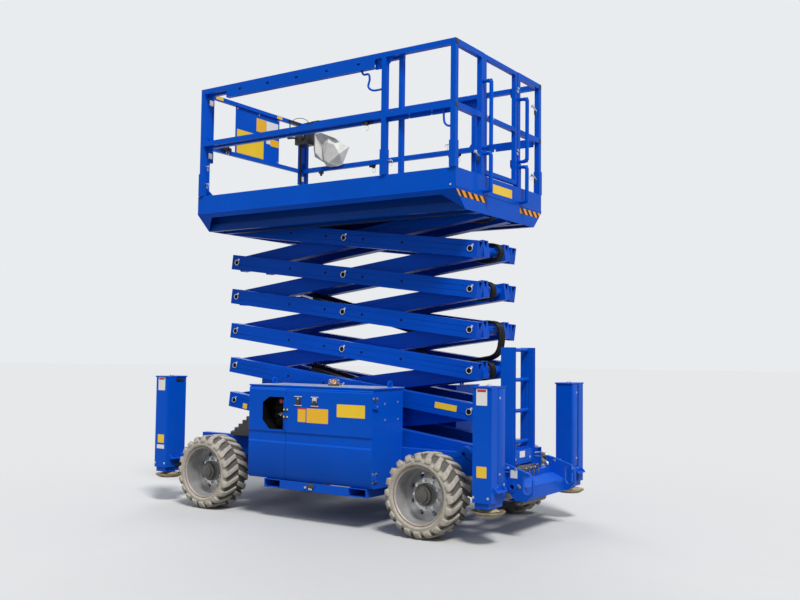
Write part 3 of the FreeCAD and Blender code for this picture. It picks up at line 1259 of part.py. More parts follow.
def tie_rod():
    """The rod that joins the two steering arms, with an eye under each."""
    x = AXLE_X - STEER_ARM
    top = TYRE_RADIUS - STEER_ARM_HALF_DEPTH - SEAT_GAP
    middle = top - TIE_ROD_EYE_DEPTH / 2
    rod = bar((x, -KINGPIN_Y, middle), (x, KINGPIN_Y, middle), TIE_ROD_RADIUS)
    eye = bar((x, KINGPIN_Y, top - TIE_ROD_EYE_DEPTH), (x, KINGPIN_Y, top), STEER_EYE_RADIUS)
    return fuse([rod, eye, mirrored(eye)])


WHEEL_PLACES = (
    ("front_left", AXLE_X, 1),
    ("front_right", AXLE_X, -1),
    ("rear_left", -AXLE_X, 1),
    ("rear_right", -AXLE_X, -1),
)


def revolved(points, x, side):
    """A wheel section of radius and distance inwards from the tyre's outer face, spun round."""
    outline = [V(0, TYRE_OUTER_Y - inward, radius) for radius, inward in points]
    face = Part.Face(Part.makePolygon(outline + [outline[0]]))
    solid = face.revolve(V(0, 0, 0), V(0, 1, 0), 360)
    solid.translate(V(x, 0, TYRE_RADIUS))
    return solid if side > 0 else mirrored(solid)


def flat_ring(radius, inward):
    """A polygon round the wheel's axis whose flats lie at least a radius from it."""
    corners = []
    for index in range(TYRE_FLATS):
        angle = math.radians(360.0 * index / TYRE_FLATS)
        corners.append(V(radius * math.sin(angle), TYRE_OUTER_Y - inward,
                         radius * math.cos(angle)))
    return Part.makePolygon(corners + [corners[0]])


def flat_bore(radius, start, depth):
    """A many-sided plug for cutting the tyre's bore, clear of a round seat."""
    corner = radius / math.cos(math.pi / TYRE_FLATS)
    return Part.Face(flat_ring(corner, start)).extrude(V(0, -depth, 0))


def tread_bar():
    """One bar of the tread on top of the wheel, from mid tread over the shoulder."""
    reach = TYRE_WIDTH / 2 - LUG_BAR_SHORT
    run = (LUG_BAR_SKEW + LUG_BAR_WIDTH) / 2
    top = math.sqrt(TYRE_RADIUS ** 2 - run ** 2)
    outline = [
        (reach, TREAD_RADIUS - 8), (reach, top), (SHOULDER_WIDTH, top),
        (0, top - SHOULDER_DROP),
        (SHOULDER_WIDTH / 2, top - SHOULDER_DROP - 6),
    ]
    slope = LUG_BAR_SKEW / (reach - SHOULDER_WIDTH)
    middle = (reach + SHOULDER_WIDTH) / 2
    points = [(slope * (inward - middle) - LUG_BAR_WIDTH / 2, TYRE_OUTER_Y - inward, radius)
              for inward, radius in outline]
    return prism(points, (LUG_BAR_WIDTH, 0, 0)), math.degrees(math.asin(run / TYRE_RADIUS))


def plain_tyre():
    """A tyre at the origin: a many-sided body with bars that meet in chevrons."""
    width = TYRE_WIDTH
    side_radius = TREAD_RADIUS - SHOULDER_DROP / 2
    half = [(14, RIM_RADIUS + 12), (4, side_radius), (SHOULDER_WIDTH, TREAD_RADIUS)]
    rings = half + [(width - inward, radius) for inward, radius in reversed(half)]
    body = Part.makeLoft([flat_ring(radius, inward) for inward, radius in rings], True, True)
    body = body.cut(flat_bore(BEAD_RADIUS + TYRE_SEAT_GAP, -1, width + 2))
    body = body.cut(flat_bore(RIM_RADIUS + TYRE_SEAT_GAP, -1, RIM_BACK_INSET + 1))
    first, corner = tread_bar()
    middle = TYRE_OUTER_Y - TYRE_WIDTH / 2
    second = first.mirror(V(0, middle, 0), V(0, 1, 0))
    bars = []
    step = 360.0 / LUGS_PER_SIDE
    for index in range(LUGS_PER_SIDE):
        for shape, phase in ((first, 0.0), (second, 0.5)):
            one = shape.copy()
            one.rotate(V(0, 0, 0), V(0, 1, 0), 180.0 - corner + (index + phase) * step)
            bars.append(one)
    return body.fuse(bars)


def tyre(pattern, x, side):
    """A copy of the tyre at a wheel's place."""
    placed = pattern.copy()
    placed.translate(V(x, 0, TYRE_RADIUS))
    return placed if side > 0 else mirrored(placed)


def rim(x, side):
    """A deep dished steel rim with its disc, hand holes and hub."""
    back = TYRE_WIDTH - RIM_BACK_INSET
    inside = BEAD_RADIUS - RIM_WALL
    barrel = revolved([
        (RIM_RADIUS, RIM_INSET), (RIM_RADIUS, RIM_BACK_INSET - SEAT_GAP),
        (BEAD_RADIUS, RIM_BACK_INSET - SEAT_GAP), (BEAD_RADIUS, back), (inside, back),
        (inside, RIM_BACK_INSET + RIM_WALL / 2), (RIM_RADIUS - RIM_WALL, RIM_INSET),
    ], x, 1)
    disc_out = RIM_DISC_DEPTH - RIM_DISC_THICKNESS
    dish = disc_out - HUB_DRUM_DEPTH
    disc = revolved([
        (inside + 1, disc_out), (inside + 1, RIM_DISC_DEPTH), (0, RIM_DISC_DEPTH),
        (0, dish), (HUB_DRUM_RADIUS + HUB_DRUM_DEPTH, dish), (inside - HUB_DRUM_DEPTH, disc_out),
    ], x, 1)
    holes = []
    for index in range(RIM_HOLES):
        angle = math.radians(360.0 * (index + 0.5) / RIM_HOLES)
        hole_x = x + RIM_HOLE_CIRCLE * math.sin(angle)
        hole_z = TYRE_RADIUS + RIM_HOLE_CIRCLE * math.cos(angle)
        holes.append(bar((hole_x, TYRE_OUTER_Y - RIM_DISC_DEPTH - 1, hole_z),
                         (hole_x, TYRE_OUTER_Y - dish + 1, hole_z), RIM_HOLE_RADIUS))
    disc = disc.cut(fuse(holes))
    hub = revolved([
        (0, dish - HUB_NOSE), (HUB_RADIUS, dish - HUB_NOSE + RIM_WALL),
        (HUB_DRUM_RADIUS, dish - HUB_DRUM_DEPTH), (HUB_DRUM_RADIUS, dish), (0, dish),
    ], x, 1)
    whole = fuse([barrel, disc, hub])
    return whole if side > 0 else mirrored(whole)


def write(name, shape):
    """Move a piece into the machine's frame and write its file."""
    placed = shape.copy()
    placed.translate(V(ORIGIN_SHIFT, 0, 0))
    placed.exportStep("parts/" + name + ".step")


def chassis_with_mounts():
    mounts = box_mounts()
    return fuse([chassis_frame()] + mounts + [mirrored(m) for m in mounts])


def main():
    os.makedirs("parts", exist_ok=True)
    write("chassis_frame", chassis_with_mounts())
    write("fork_pockets", fork_pockets())
    write("outrigger_beams", outrigger_beams())
    write("outrigger_columns", outrigger_columns())
    write("rear_lug_beam", rear_lug_beam())
    write("ladder", ladder())
    write("front_cover", front_cover())
    write("engine_box", box_shell(1))
    write("service_box", box_shell(-1))
    write("engine_door", box_door(1))
    write("service_door", box_door(-1))
    write("control_panel", control_panel())
    write("engine_block", engine_block())
    write("tank_block", tank_block())
    write("beacon", beacon())
    write("lifting_eyes", lifting_eyes())
    write("front_axle", front_axle())
    write("rear_axle", rear_axle())
    for name, x, side in COLUMN_PLACES:
        write("outrigger_leg_" + name, outrigger_leg(x, side))
    for name, side in (("left", 1), ("right", -1)):
        write("knuckle_" + name, knuckle(side))
    write("tie_rod", tie_rod())
    pattern = plain_tyre()
    for name, x, side in WHEEL_PLACES:
        write("tyre_" + name, tyre(pattern, x, side))
        write("rim_" + name, rim(x, side))
    for stage in range(1, STAGES + 1):
        write("outer_arms_%d" % stage, outer_arms(stage))
        write("inner_arms_%d" % stage, inner_arms(stage))
    for number, (foot_stage, head_stage) in enumerate(CYLINDER_STAGES, start=1):
        write("lift_barrel_%d" % number, lift_barrel(foot_stage, head_stage))
        write("lift_rod_%d" % number, lift_rod(foot_stage, head_stage))
    write("platform_deck", platform_deck())
    write("deck_beams", deck_beams())
    write("guard_rails", main_rails())
    write("entry_gate", entry_gate())
    write("extension_deck", extension_deck())
    write("extension_rails", extension_rails())
    write("sign_panel", sign_panel())
    write("console", console())
    write("console_cover", console_cover())


main()
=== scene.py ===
"""Rough-terrain scissor lift: finishes, small parts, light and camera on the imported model."""
import math

import bmesh
import bpy
from mathutils import Matrix, Vector, noise


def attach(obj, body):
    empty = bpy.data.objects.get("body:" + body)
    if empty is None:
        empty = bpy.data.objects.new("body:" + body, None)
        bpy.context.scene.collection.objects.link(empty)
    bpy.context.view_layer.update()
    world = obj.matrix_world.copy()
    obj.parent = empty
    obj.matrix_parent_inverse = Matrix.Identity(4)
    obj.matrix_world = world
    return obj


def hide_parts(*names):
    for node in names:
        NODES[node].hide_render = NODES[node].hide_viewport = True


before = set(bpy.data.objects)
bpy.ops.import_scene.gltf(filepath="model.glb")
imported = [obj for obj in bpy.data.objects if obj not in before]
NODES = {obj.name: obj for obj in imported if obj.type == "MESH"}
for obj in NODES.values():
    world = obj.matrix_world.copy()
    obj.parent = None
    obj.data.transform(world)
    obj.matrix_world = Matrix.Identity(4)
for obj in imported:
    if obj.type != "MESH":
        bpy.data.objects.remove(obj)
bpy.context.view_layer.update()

# Places below are given from the middle of the wheelbase, and SHIFT moves them into the frame.
SHIFT = 0.01525
AXLE = 1.145
TYRE_R = 0.325
TYRE_FACE = 0.878
TYRE_W = 0.295
PIN_X = 1.2835
FIRST_PIN = 0.615
PITCH = 0.328
STAGES = 6
ARM_FACE = 0.336
RISE = math.asin(PITCH / math.hypot(2 * PIN_X, PITCH))
BOX_FACE = 0.868
RAIL_FACE = 0.760
FLOOR = 2.735


def at(x, y, z):
    """A place given from the middle of the wheelbase, in the frame."""
    return Vector((x + SHIFT, y, z))


# Node groups


def new_group(name, inputs, outputs):
    """An empty shader group with named sockets."""
    group = bpy.data.node_groups.new(name, "ShaderNodeTree")
    for label, kind, value in inputs:
        socket = group.interface.new_socket(label, in_out="INPUT", socket_type=kind)
        if value is not None:
            socket.default_value = value
    for label, kind in outputs:
        group.interface.new_socket(label, in_out="OUTPUT", socket_type=kind)
    return group


class Web:
    """Adds nodes to a tree and joins them in one call."""

    def __init__(self, tree):
        self.tree = tree
        self.column = 0

    def add(self, kind, settings=None, **inputs):
        node = self.tree.nodes.new(kind)
        self.column += 1
        node.location = (self.column * 180, (self.column % 5) * -140)
        for key, value in (settings or {}).items():
            setattr(node, key, value)
        for key, value in inputs.items():
            self.put(node, key, value)
        return node

    def put(self, node, key, value):
        socket = node.inputs[int(key[1:])] if key[1:].isdigit() else node.inputs[
            key.replace("_", " ")]
        if isinstance(value, bpy.types.NodeSocket):
            self.tree.links.new(value, socket)
        else:
            socket.default_value = value

    def maths(self, operation, a, b=None, clamp=False):
        node = self.add("ShaderNodeMath", {"operation": operation, "use_clamp": clamp}, i0=a)
        if b is not None:
            self.put(node, "i1", b)
        return node.outputs[0]

    def ramp(self, value, low, high, to_low=0.0, to_high=1.0):
        node = self.add("ShaderNodeMapRange", {"clamp": True}, Value=value, From_Min=low,
                        From_Max=high, To_Min=to_low, To_Max=to_high)
        return node.outputs[0]

    def blend(self, factor, a, b):
        node = self.add("ShaderNodeMix", {"data_type": "RGBA"})
        self.put(node, "i0", factor)
        self.put(node, "i6", a)
        self.put(node, "i7", b)
        return node.outputs[2]

    def within(self, vector, low, high):
        """1 inside a box of Object coordinates and 0 outside it."""
        split = self.add("ShaderNodeSeparateXYZ", None, Vector=vector)
        inside = None
        for index in range(3):
            over = self.maths("GREATER_THAN", split.outputs[index], low[index])
            under = self.maths("LESS_THAN", split.outputs[index], high[index])
            both = self.maths("MULTIPLY", over, under)
            inside = both if inside is None else self.maths("MULTIPLY", inside, both)
        return inside

    def noise(self, vector, scale, detail=4.0, rough=0.55):
        node = self.add("ShaderNodeTexNoise", None, Vector=vector, Scale=scale, Detail=detail,
                        Roughness=rough)
        return node.outputs[0]


def make_wear_group():
    """Soft patches, fine specks and long scratches, each from 0 to 1."""
    group = new_group(
        "surface wear",
        [("Vector", "NodeSocketVector", None), ("Patch Scale", "NodeSocketFloat", 2.0),
         ("Speck Scale", "NodeSocketFloat", 90.0)],
        [("Patches", "NodeSocketFloat"), ("Specks", "NodeSocketFloat"),
         ("Scratches", "NodeSocketFloat"), ("Ripple", "NodeSocketFloat")])
    web = Web(group)
    start = web.add("NodeGroupInput")
    end = web.add("NodeGroupOutput")
    patches = web.noise(start.outputs[0], start.outputs[1], 5.0, 0.6)
    specks = web.noise(start.outputs[0], start.outputs[2], 2.0, 0.7)
    stretch = web.add("ShaderNodeVectorMath", {"operation": "MULTIPLY"})
    web.put(stretch, "i0", start.outputs[0])
    stretch.inputs[1].default_value = (2.0, 2.0, 55.0)
    lines = web.noise(stretch.outputs[0], 3.0, 3.0, 0.5)
    ripple = web.noise(start.outputs[0], 420.0, 1.0, 0.5)
    web.put(end, "Patches", web.ramp(patches, 0.38, 0.66))
    web.put(end, "Specks", web.ramp(specks, 0.6, 0.74))
    web.put(end, "Scratches", web.ramp(lines, 0.7, 0.78))
    web.put(end, "Ripple", ripple)
    return group


def make_dust_group():
    """Dust that thickens towards the ground and on faces that look up."""
    group = new_group(
        "settled dust",
        [("Vector", "NodeSocketVector", None), ("Top", "NodeSocketFloat", 1.1),
         ("Amount", "NodeSocketFloat", 0.3), ("Flat Amount", "NodeSocketFloat", 0.3)],
        [("Dust", "NodeSocketFloat")])
    web = Web(group)
    start = web.add("NodeGroupInput")
    end = web.add("NodeGroupOutput")
    split = web.add("ShaderNodeSeparateXYZ", None, Vector=start.outputs[0])
    low = web.add("ShaderNodeMapRange", {"clamp": True}, Value=split.outputs[2], From_Min=0.1,
                  From_Max=start.outputs[1], To_Min=1.0, To_Max=0.0)
    spread = web.noise(start.outputs[0], 5.0, 6.0, 0.65)
    broken = web.ramp(spread, 0.3, 0.75)
    ground = web.maths("MULTIPLY", low.outputs[0], start.outputs[2])
    normal = web.add("ShaderNodeNewGeometry")
    up = web.add("ShaderNodeSeparateXYZ", None, Vector=normal.outputs["Normal"])
    flat = web.ramp(up.outputs[2], 0.75, 0.98)
    flat = web.maths("MULTIPLY", flat, start.outputs[3])
    total = web.maths("ADD", ground, flat)
    total = web.maths("MULTIPLY", total, web.maths("ADD", broken, 0.35), clamp=True)
    web.put(end, "Dust", total)
    return group


WEAR = make_wear_group()
DUST = make_dust_group()


def start_material(name, metallic=0.0, coat=0.0, specular=0.5):
    """A material with its shader, its web and Object coordinates."""
    made = bpy.data.materials.new(name)
    made.use_nodes = True
    web = Web(made.node_tree)
    shader = made.node_tree.nodes["Principled BSDF"]
    shader.inputs["Metallic"].default_value = metallic
    shader.inputs["Coat Weight"].default_value = coat
    shader.inputs["Coat Roughness"].default_value = 0.08
    shader.inputs["Specular IOR Level"].default_value = specular
    place = web.add("ShaderNodeTexCoord").outputs["Object"]
    return made, web, shader, place


def finish(name, colour, worn=None, dust=(0.52, 0.48, 0.41), rough=(0.3, 0.5), metallic=0.0,
           coat=0.0, specular=0.5, patch=2.0, speck=90.0, dust_top=1.1, dust_low=0.3,
           dust_flat=0.2, scratch=0.15, bump=0.05, shade=0.8, painted_shade_box=None):
    """A painted, cast or moulded finish: patches, scratches, specks, dust and a fine ripple, with
    an optional box of near-black painted shade.
    """
    made, web, shader, place = start_material(name, metallic, coat, specular)
    wear = web.add("ShaderNodeGroup", {"node_tree": WEAR}, Vector=place, Patch_Scale=patch,
                   Speck_Scale=speck)
    settled = web.add("ShaderNodeGroup", {"node_tree": DUST}, Vector=place, Top=dust_top,
                      Amount=dust_low, Flat_Amount=dust_flat)
    base = tuple(colour) + (1.0,)
    dull = tuple(c * shade for c in colour) + (1.0,)
    tone = web.blend(wear.outputs["Patches"], base, dull)
    bare = tuple(worn or [min(1.0, c * 1.6 + 0.04) for c in colour]) + (1.0,)
    marks = web.maths("MULTIPLY", wear.outputs["Scratches"], scratch)
    marks = web.maths("ADD", marks, web.maths("MULTIPLY", wear.outputs["Specks"], scratch * 0.7),
                      clamp=True)
    tone = web.blend(marks, tone, bare)
    tone = web.blend(settled.outputs["Dust"], tone, tuple(dust) + (1.0,))
    # painted shade: surfaces inside the given box are painted near-black, as shade in a hollow
    if painted_shade_box:
        tone = web.blend(web.within(place, *painted_shade_box), tone, (0.006, 0.006, 0.007, 1.0))
    web.put(shader, "Base_Color", tone)
    gloss = web.ramp(wear.outputs["Patches"], 0.0, 1.0, rough[0], rough[1])
    gloss = web.maths("ADD", gloss, web.maths("MULTIPLY", settled.outputs["Dust"], 0.5),
                      clamp=True)
    web.put(shader, "Roughness", gloss)
    height = web.maths("ADD", wear.outputs["Ripple"],
                       web.maths("MULTIPLY", wear.outputs["Specks"], 0.4))
    relief = web.add("ShaderNodeBump", None, Strength=bump, Distance=0.001, Height=height)
    web.put(shader, "Normal", relief.outputs[0])
    return made


BLUE = finish("bright blue paint", (0.0, 0.088, 0.59), worn=(0.01, 0.10, 0.5), rough=(0.26, 0.36),
              coat=0.0, specular=0.06, dust_low=0.03, dust_flat=0.05, dust=(0.3, 0.36, 0.48),
              scratch=0.0, shade=0.9, patch=1.3)
# the engine box paint carries painted shade: its window opening is painted near-black
BOX_BLUE_WITH_PAINTED_SHADE = finish("bright blue paint on the engine box", (0.0, 0.088, 0.59),
                  worn=(0.01, 0.10, 0.5), rough=(0.26, 0.36), coat=0.0, specular=0.06,
                  dust_low=0.03, dust_flat=0.05, dust=(0.3, 0.36, 0.48), scratch=0.0, shade=0.9,
                  patch=1.3, painted_shade_box=((0.196, 0.730, 0.74), (0.460, 0.8662, 1.03)))
# the deck-beam blue is the same paint made darker, as painted shade under the deck
DECK_BLUE_DARKENED_AS_SHADE = finish("blue paint under the deck", (0.0, 0.055, 0.34), rough=(0.3, 0.42),
                   specular=0.10, dust_low=0.0, dust_flat=0.0, scratch=0.0, shade=0.8, patch=1.1)
# the arm blue is the bright blue made a little darker, as painted shade on the arms
ARM_BLUE_DARKENED_AS_SHADE = finish("blue paint on the arms", (0.0, 0.074, 0.55), rough=(0.28, 0.4), coat=0.0,
                  specular=0.06, dust_low=0.0, dust_flat=0.04, dust=(0.3, 0.36, 0.48),
                  scratch=0.0, shade=0.86, patch=1.7)
BLACK = finish("black plastic", (0.012, 0.012, 0.014), rough=(0.35, 0.55), dust_low=0.12,
               scratch=0.1, bump=0.12)
GLOSS_BLACK = finish("black enamel", (0.01, 0.01, 0.011), rough=(0.18, 0.32), coat=0.4,
                     dust_low=0.15, scratch=0.1)
STEEL = finish("zinc plated steel", (0.62, 0.63, 0.64), worn=(0.8, 0.8, 0.8), metallic=0.85,
               rough=(0.25, 0.42), dust_low=0.2, scratch=0.25, speck=60.0)
DARK_STEEL = finish("dark steel", (0.05, 0.05, 0.055), metallic=0.5, rough=(0.35, 0.55),
                    dust_low=0.35)
CHROME = finish("hard chrome", (0.75, 0.76, 0.78), worn=(0.5, 0.5, 0.5), metallic=1.0,
                rough=(0.08, 0.14), dust_low=0.0, dust_flat=0.0, scratch=0.1, bump=0.01)
# near-black: painted shade inside the pin bores and in the groove line of the columns; it also
# colours the control panel and dark control parts
PAINTED_SHADE_AND_BLACK_PARTS = finish("inside of a bore", (0.004, 0.004, 0.004), worn=(0.01, 0.01, 0.01), specular=0.1,
              rough=(0.7, 0.8), dust_low=0.0, dust_flat=0.0, scratch=0.0)
CAST = finish("cast iron", (0.06, 0.06, 0.06), rough=(0.6, 0.8), bump=0.3, speck=160.0)
RUBBER = finish("black rubber hose", (0.006, 0.006, 0.007), worn=(0.02, 0.02, 0.02),
                rough=(0.4, 0.55), specular=0.18, dust_low=0.05, dust_flat=0.03, bump=0.15,
                speck=140.0)
WHITE = finish("white label", (0.82, 0.82, 0.8), worn=(0.5, 0.5, 0.5), rough=(0.3, 0.45),
               dust_low=0.1, scratch=0.08, shade=0.93)
GREY = finish("grey label", (0.16, 0.17, 0.16), rough=(0.35, 0.5), dust_low=0.1, scratch=0.05)
RED = finish("red label", (0.6, 0.02, 0.015), rough=(0.3, 0.4), dust_low=0.05)
YELLOW = finish("yellow label", (0.93, 0.60, 0.01), worn=(0.6, 0.4, 0.05), rough=(0.28, 0.4),
                dust_low=0.05, scratch=0.06, shade=0.92)
ORANGE = finish("orange label", (0.93, 0.50, 0.006), worn=(0.6, 0.3, 0.05), rough=(0.28, 0.4),
                dust_low=0.05, scratch=0.06, shade=0.92)
BRASS = finish("bare foot pad", (0.30, 0.25, 0.15), worn=(0.5, 0.42, 0.28), metallic=0.15,
               rough=(0.5, 0.7), dust_low=0.4, scratch=0.2)


def make_tyre_rubber(name, x):
    """Sand-coloured dust ground into a non-marking tread, darker in the grooves."""
    made, web, shader, place = start_material(name, specular=0.3)
    wear = web.add("ShaderNodeGroup", {"node_tree": WEAR}, Vector=place, Patch_Scale=9.0,
                   Speck_Scale=150.0)
    fine = web.noise(place, 38.0, 6.0, 0.7)
    tone = web.blend(web.ramp(fine, 0.3, 0.7), (0.36, 0.325, 0.27, 1.0),
                     (0.56, 0.52, 0.45, 1.0))
    tone = web.blend(web.maths("MULTIPLY", wear.outputs["Patches"], 0.45), tone,
                     (0.27, 0.25, 0.22, 1.0))
    tone = web.blend(web.maths("MULTIPLY", wear.outputs["Specks"], 0.5), tone,
                     (0.66, 0.63, 0.56, 1.0))
    away = web.add("ShaderNodeVectorMath", {"operation": "SUBTRACT"})
    web.put(away, "i0", place)
    away.inputs[1].default_value = (x, 0.0, TYRE_R)
    flat = web.add("ShaderNodeVectorMath", {"operation": "MULTIPLY"})
    web.put(flat, "i0", away.outputs[0])
    flat.inputs[1].default_value = (1.0, 0.0, 1.0)
    length = web.add("ShaderNodeVectorMath", {"operation": "LENGTH"})
    web.put(length, "i0", flat.outputs[0])
    across = web.add("ShaderNodeSeparateXYZ", None, Vector=place)
    reach = web.maths("ABSOLUTE", across.outputs[1])
    groove = web.maths("MULTIPLY", web.ramp(length.outputs["Value"], 0.303, 0.318, 1.0, 0.0),
                       web.ramp(reach, 0.846, 0.862, 1.0, 0.0))
    tone = web.blend(web.maths("MULTIPLY", groove, 0.85), tone, (0.075, 0.070, 0.062, 1.0))
    web.put(shader, "Base_Color", tone)
    web.put(shader, "Roughness", web.ramp(fine, 0.3, 0.7, 0.72, 0.92))
    height = web.maths("ADD", fine, web.maths("MULTIPLY", wear.outputs["Specks"], 0.6))
    relief = web.add("ShaderNodeBump", None, Strength=0.5, Distance=0.002, Height=height)
    web.put(shader, "Normal", relief.outputs[0])
    return made


def make_rim_paint(name, x):
    """Silver wheel paint with a ring of rust where the tyre meets the rim."""
    made, web, shader, place = start_material(name, metallic=0.55)
    away = web.add("ShaderNodeVectorMath", {"operation": "SUBTRACT"})
    web.put(away, "i0", place)
    away.inputs[1].default_value = (x, 0.0, TYRE_R)
    flat = web.add("ShaderNodeVectorMath", {"operation": "MULTIPLY"})
    web.put(flat, "i0", away.outputs[0])
    flat.inputs[1].default_value = (1.0, 0.0, 1.0)
    length = web.add("ShaderNodeVectorMath", {"operation": "LENGTH"})
    web.put(length, "i0", flat.outputs[0])
    radius = length.outputs["Value"]
    wear = web.add("ShaderNodeGroup", {"node_tree": WEAR}, Vector=place, Patch_Scale=8.0,
                   Speck_Scale=120.0)
    edge = web.ramp(radius, 0.208, 0.224)
    ragged = web.noise(place, 26.0, 5.0, 0.7)
    edge = web.maths("MULTIPLY", edge, web.ramp(ragged, 0.25, 0.6, 0.45, 1.0))
    tone = web.blend(wear.outputs["Patches"], (0.52, 0.53, 0.54, 1.0), (0.36, 0.36, 0.36, 1.0))
    tone = web.blend(web.maths("MULTIPLY", wear.outputs["Specks"], 0.5), tone,
                     (0.30, 0.22, 0.15, 1.0))
    rust = web.blend(ragged, (0.16, 0.07, 0.03, 1.0), (0.34, 0.19, 0.1, 1.0))
    web.put(shader, "Base_Color", web.blend(edge, tone, rust))
    web.put(shader, "Roughness", web.ramp(edge, 0.0, 1.0, 0.38, 0.85))
    web.put(shader, "Metallic", web.ramp(edge, 0.0, 1.0, 0.55, 0.05))
    relief = web.add("ShaderNodeBump", None, Strength=0.25, Distance=0.001, Height=ragged)
    web.put(shader, "Normal", relief.outputs[0])
    return made


def make_hazard_tape():
    """Slanted black bars on orange tape."""
    made, web, shader, place = start_material("hazard tape", specular=0.15)
    split = web.add("ShaderNodeSeparateXYZ", None, Vector=place)
    run = web.maths("SUBTRACT", split.outputs[1], split.outputs[2])
    run = web.maths("ADD", run, 20.0)
    phase = web.maths("FRACT", web.maths("DIVIDE", run, 0.096))
    bars = web.ramp(phase, 0.5, 0.505)
    wear = web.add("ShaderNodeGroup", {"node_tree": WEAR}, Vector=place, Patch_Scale=6.0,
                   Speck_Scale=80.0)
    tone = web.blend(bars, (0.90, 0.34, 0.01, 1.0), (0.004, 0.004, 0.004, 1.0))
    tone = web.blend(web.maths("MULTIPLY", wear.outputs["Specks"], 0.3), tone,
                     (0.35, 0.3, 0.26, 1.0))
    web.put(shader, "Base_Color", tone)
    web.put(shader, "Roughness", web.ramp(wear.outputs["Patches"], 0.0, 1.0, 0.3, 0.45))
    return made


def make_leg_paint():
    """Blue paint on the leg with a bare, brassy foot below it."""
    made, web, shader, place = start_material("stabiliser leg", specular=0.15)
    split = web.add("ShaderNodeSeparateXYZ", None, Vector=place)
    wear = web.add("ShaderNodeGroup", {"node_tree": WEAR}, Vector=place, Patch_Scale=14.0,
                   Speck_Scale=120.0)
    foot = web.ramp(split.outputs[2], 0.258, 0.262, 1.0, 0.0)
    metal = web.blend(wear.outputs["Patches"], (0.36, 0.29, 0.17, 1.0), (0.20, 0.15, 0.09, 1.0))
    metal = web.blend(web.maths("MULTIPLY", wear.outputs["Specks"], 0.6), metal,
                      (0.2, 0.13, 0.07, 1.0))
    paint = web.blend(wear.outputs["Patches"], (0.0, 0.086, 0.58, 1.0),
                      (0.0, 0.07, 0.50, 1.0))
    web.put(shader, "Base_Color", web.blend(foot, paint, metal))
    web.put(shader, "Roughness", web.ramp(foot, 0.0, 1.0, 0.3, 0.5))
    web.put(shader, "Metallic", web.ramp(foot, 0.0, 1.0, 0.0, 0.15))
    relief = web.add("ShaderNodeBump", None, Strength=0.08, Distance=0.001,
                     Height=wear.outputs["Ripple"])
    web.put(shader, "Normal", relief.outputs[0])
    return made


def make_cover_cloth():
    """Stiff, pale coated cloth with a fine weave and soiled folds."""
    made, web, shader, place = start_material("pale coated cloth", specular=0.35)
    wear = web.add("ShaderNodeGroup", {"node_tree": WEAR}, Vector=place, Patch_Scale=11.0,
                   Speck_Scale=200.0)
    weave = web.add("ShaderNodeTexWave", {"bands_direction": "X"}, Vector=place, Scale=420.0,
                    Distortion=0.4)
    across = web.add("ShaderNodeTexWave", {"bands_direction": "Z"}, Vector=place, Scale=420.0,
                     Distortion=0.4)
    threads = web.maths("MULTIPLY", weave.outputs["Fac"], across.outputs["Fac"])
    tone = web.blend(wear.outputs["Patches"], (0.70, 0.70, 0.68, 1.0), (0.58, 0.57, 0.54, 1.0))
    tone = web.blend(web.maths("MULTIPLY", threads, 0.2), tone, (0.78, 0.78, 0.76, 1.0))
    web.put(shader, "Base_Color", tone)
    web.put(shader, "Roughness", web.ramp(threads, 0.0, 1.0, 0.55, 0.75))
    relief = web.add("ShaderNodeBump", None, Strength=0.25, Distance=0.0006, Height=threads)
    web.put(shader, "Normal", relief.outputs[0])
    return made


def make_amber():
    """Clear amber lens plastic with moulded rings."""
    made, web, shader, place = start_material("amber lens", coat=0.6)
    rings = web.add("ShaderNodeTexWave", {"bands_direction": "Z"}, Vector=place, Scale=60.0,
                    Distortion=0.0)
    tone = web.blend(rings.outputs["Fac"], (0.9, 0.26, 0.01, 1.0), (0.98, 0.48, 0.06, 1.0))
    web.put(shader, "Base_Color", tone)
    web.put(shader, "Roughness", web.ramp(rings.outputs["Fac"], 0.0, 1.0, 0.12, 0.2))
    shader.inputs["Transmission Weight"].default_value = 0.25
    relief = web.add("ShaderNodeBump", None, Strength=0.3, Distance=0.001,
                     Height=rings.outputs["Fac"])
    web.put(shader, "Normal", relief.outputs[0])
    return made


def make_clear_plastic():
    """Clear, slightly yellowed lamp cover."""
    made, web, shader, place = start_material("clear lamp cover", coat=0.3)
    haze = web.noise(place, 30.0, 3.0, 0.6)
    web.put(shader, "Base_Color", web.blend(haze, (0.94, 0.93, 0.88, 1.0),
                                            (0.86, 0.84, 0.78, 1.0)))
    web.put(shader, "Roughness", web.ramp(haze, 0.3, 0.7, 0.03, 0.10))
    shader.inputs["Transmission Weight"].default_value = 0.92
    shader.inputs["IOR"].default_value = 1.2
    return made


def make_tread_plate():
    """Painted floor plate with raised slanted cleats."""
    made, web, shader, place = start_material("cleated floor plate", coat=0.15)
    scaled = web.add("ShaderNodeVectorMath", {"operation": "SCALE"})
    web.put(scaled, "i0", place)
    scaled.inputs["Scale"].default_value = 1.0 / 0.034
    split = web.add("ShaderNodeSeparateXYZ", None, Vector=scaled.outputs[0])
    across = web.maths("SINE", web.maths("MULTIPLY", split.outputs[0], math.pi))
    along = web.maths("SINE", web.maths("MULTIPLY", split.outputs[1], math.pi))
    cleat = web.ramp(web.maths("MULTIPLY", across, along), 0.45, 0.6)
    wear = web.add("ShaderNodeGroup", {"node_tree": WEAR}, Vector=place, Patch_Scale=3.0,
                   Speck_Scale=70.0)
    tone = web.blend(wear.outputs["Patches"], (0.12, 0.13, 0.15, 1.0), (0.2, 0.2, 0.2, 1.0))
    tone = web.blend(web.maths("MULTIPLY", cleat, 0.5), tone, (0.36, 0.36, 0.35, 1.0))
    web.put(shader, "Base_Color", tone)
    web.put(shader, "Roughness", web.ramp(wear.outputs["Patches"], 0.0, 1.0, 0.45, 0.65))
    relief = web.add("ShaderNodeBump", None, Strength=0.5, Distance=0.002, Height=cleat)
    web.put(shader, "Normal", relief.outputs[0])
    return made


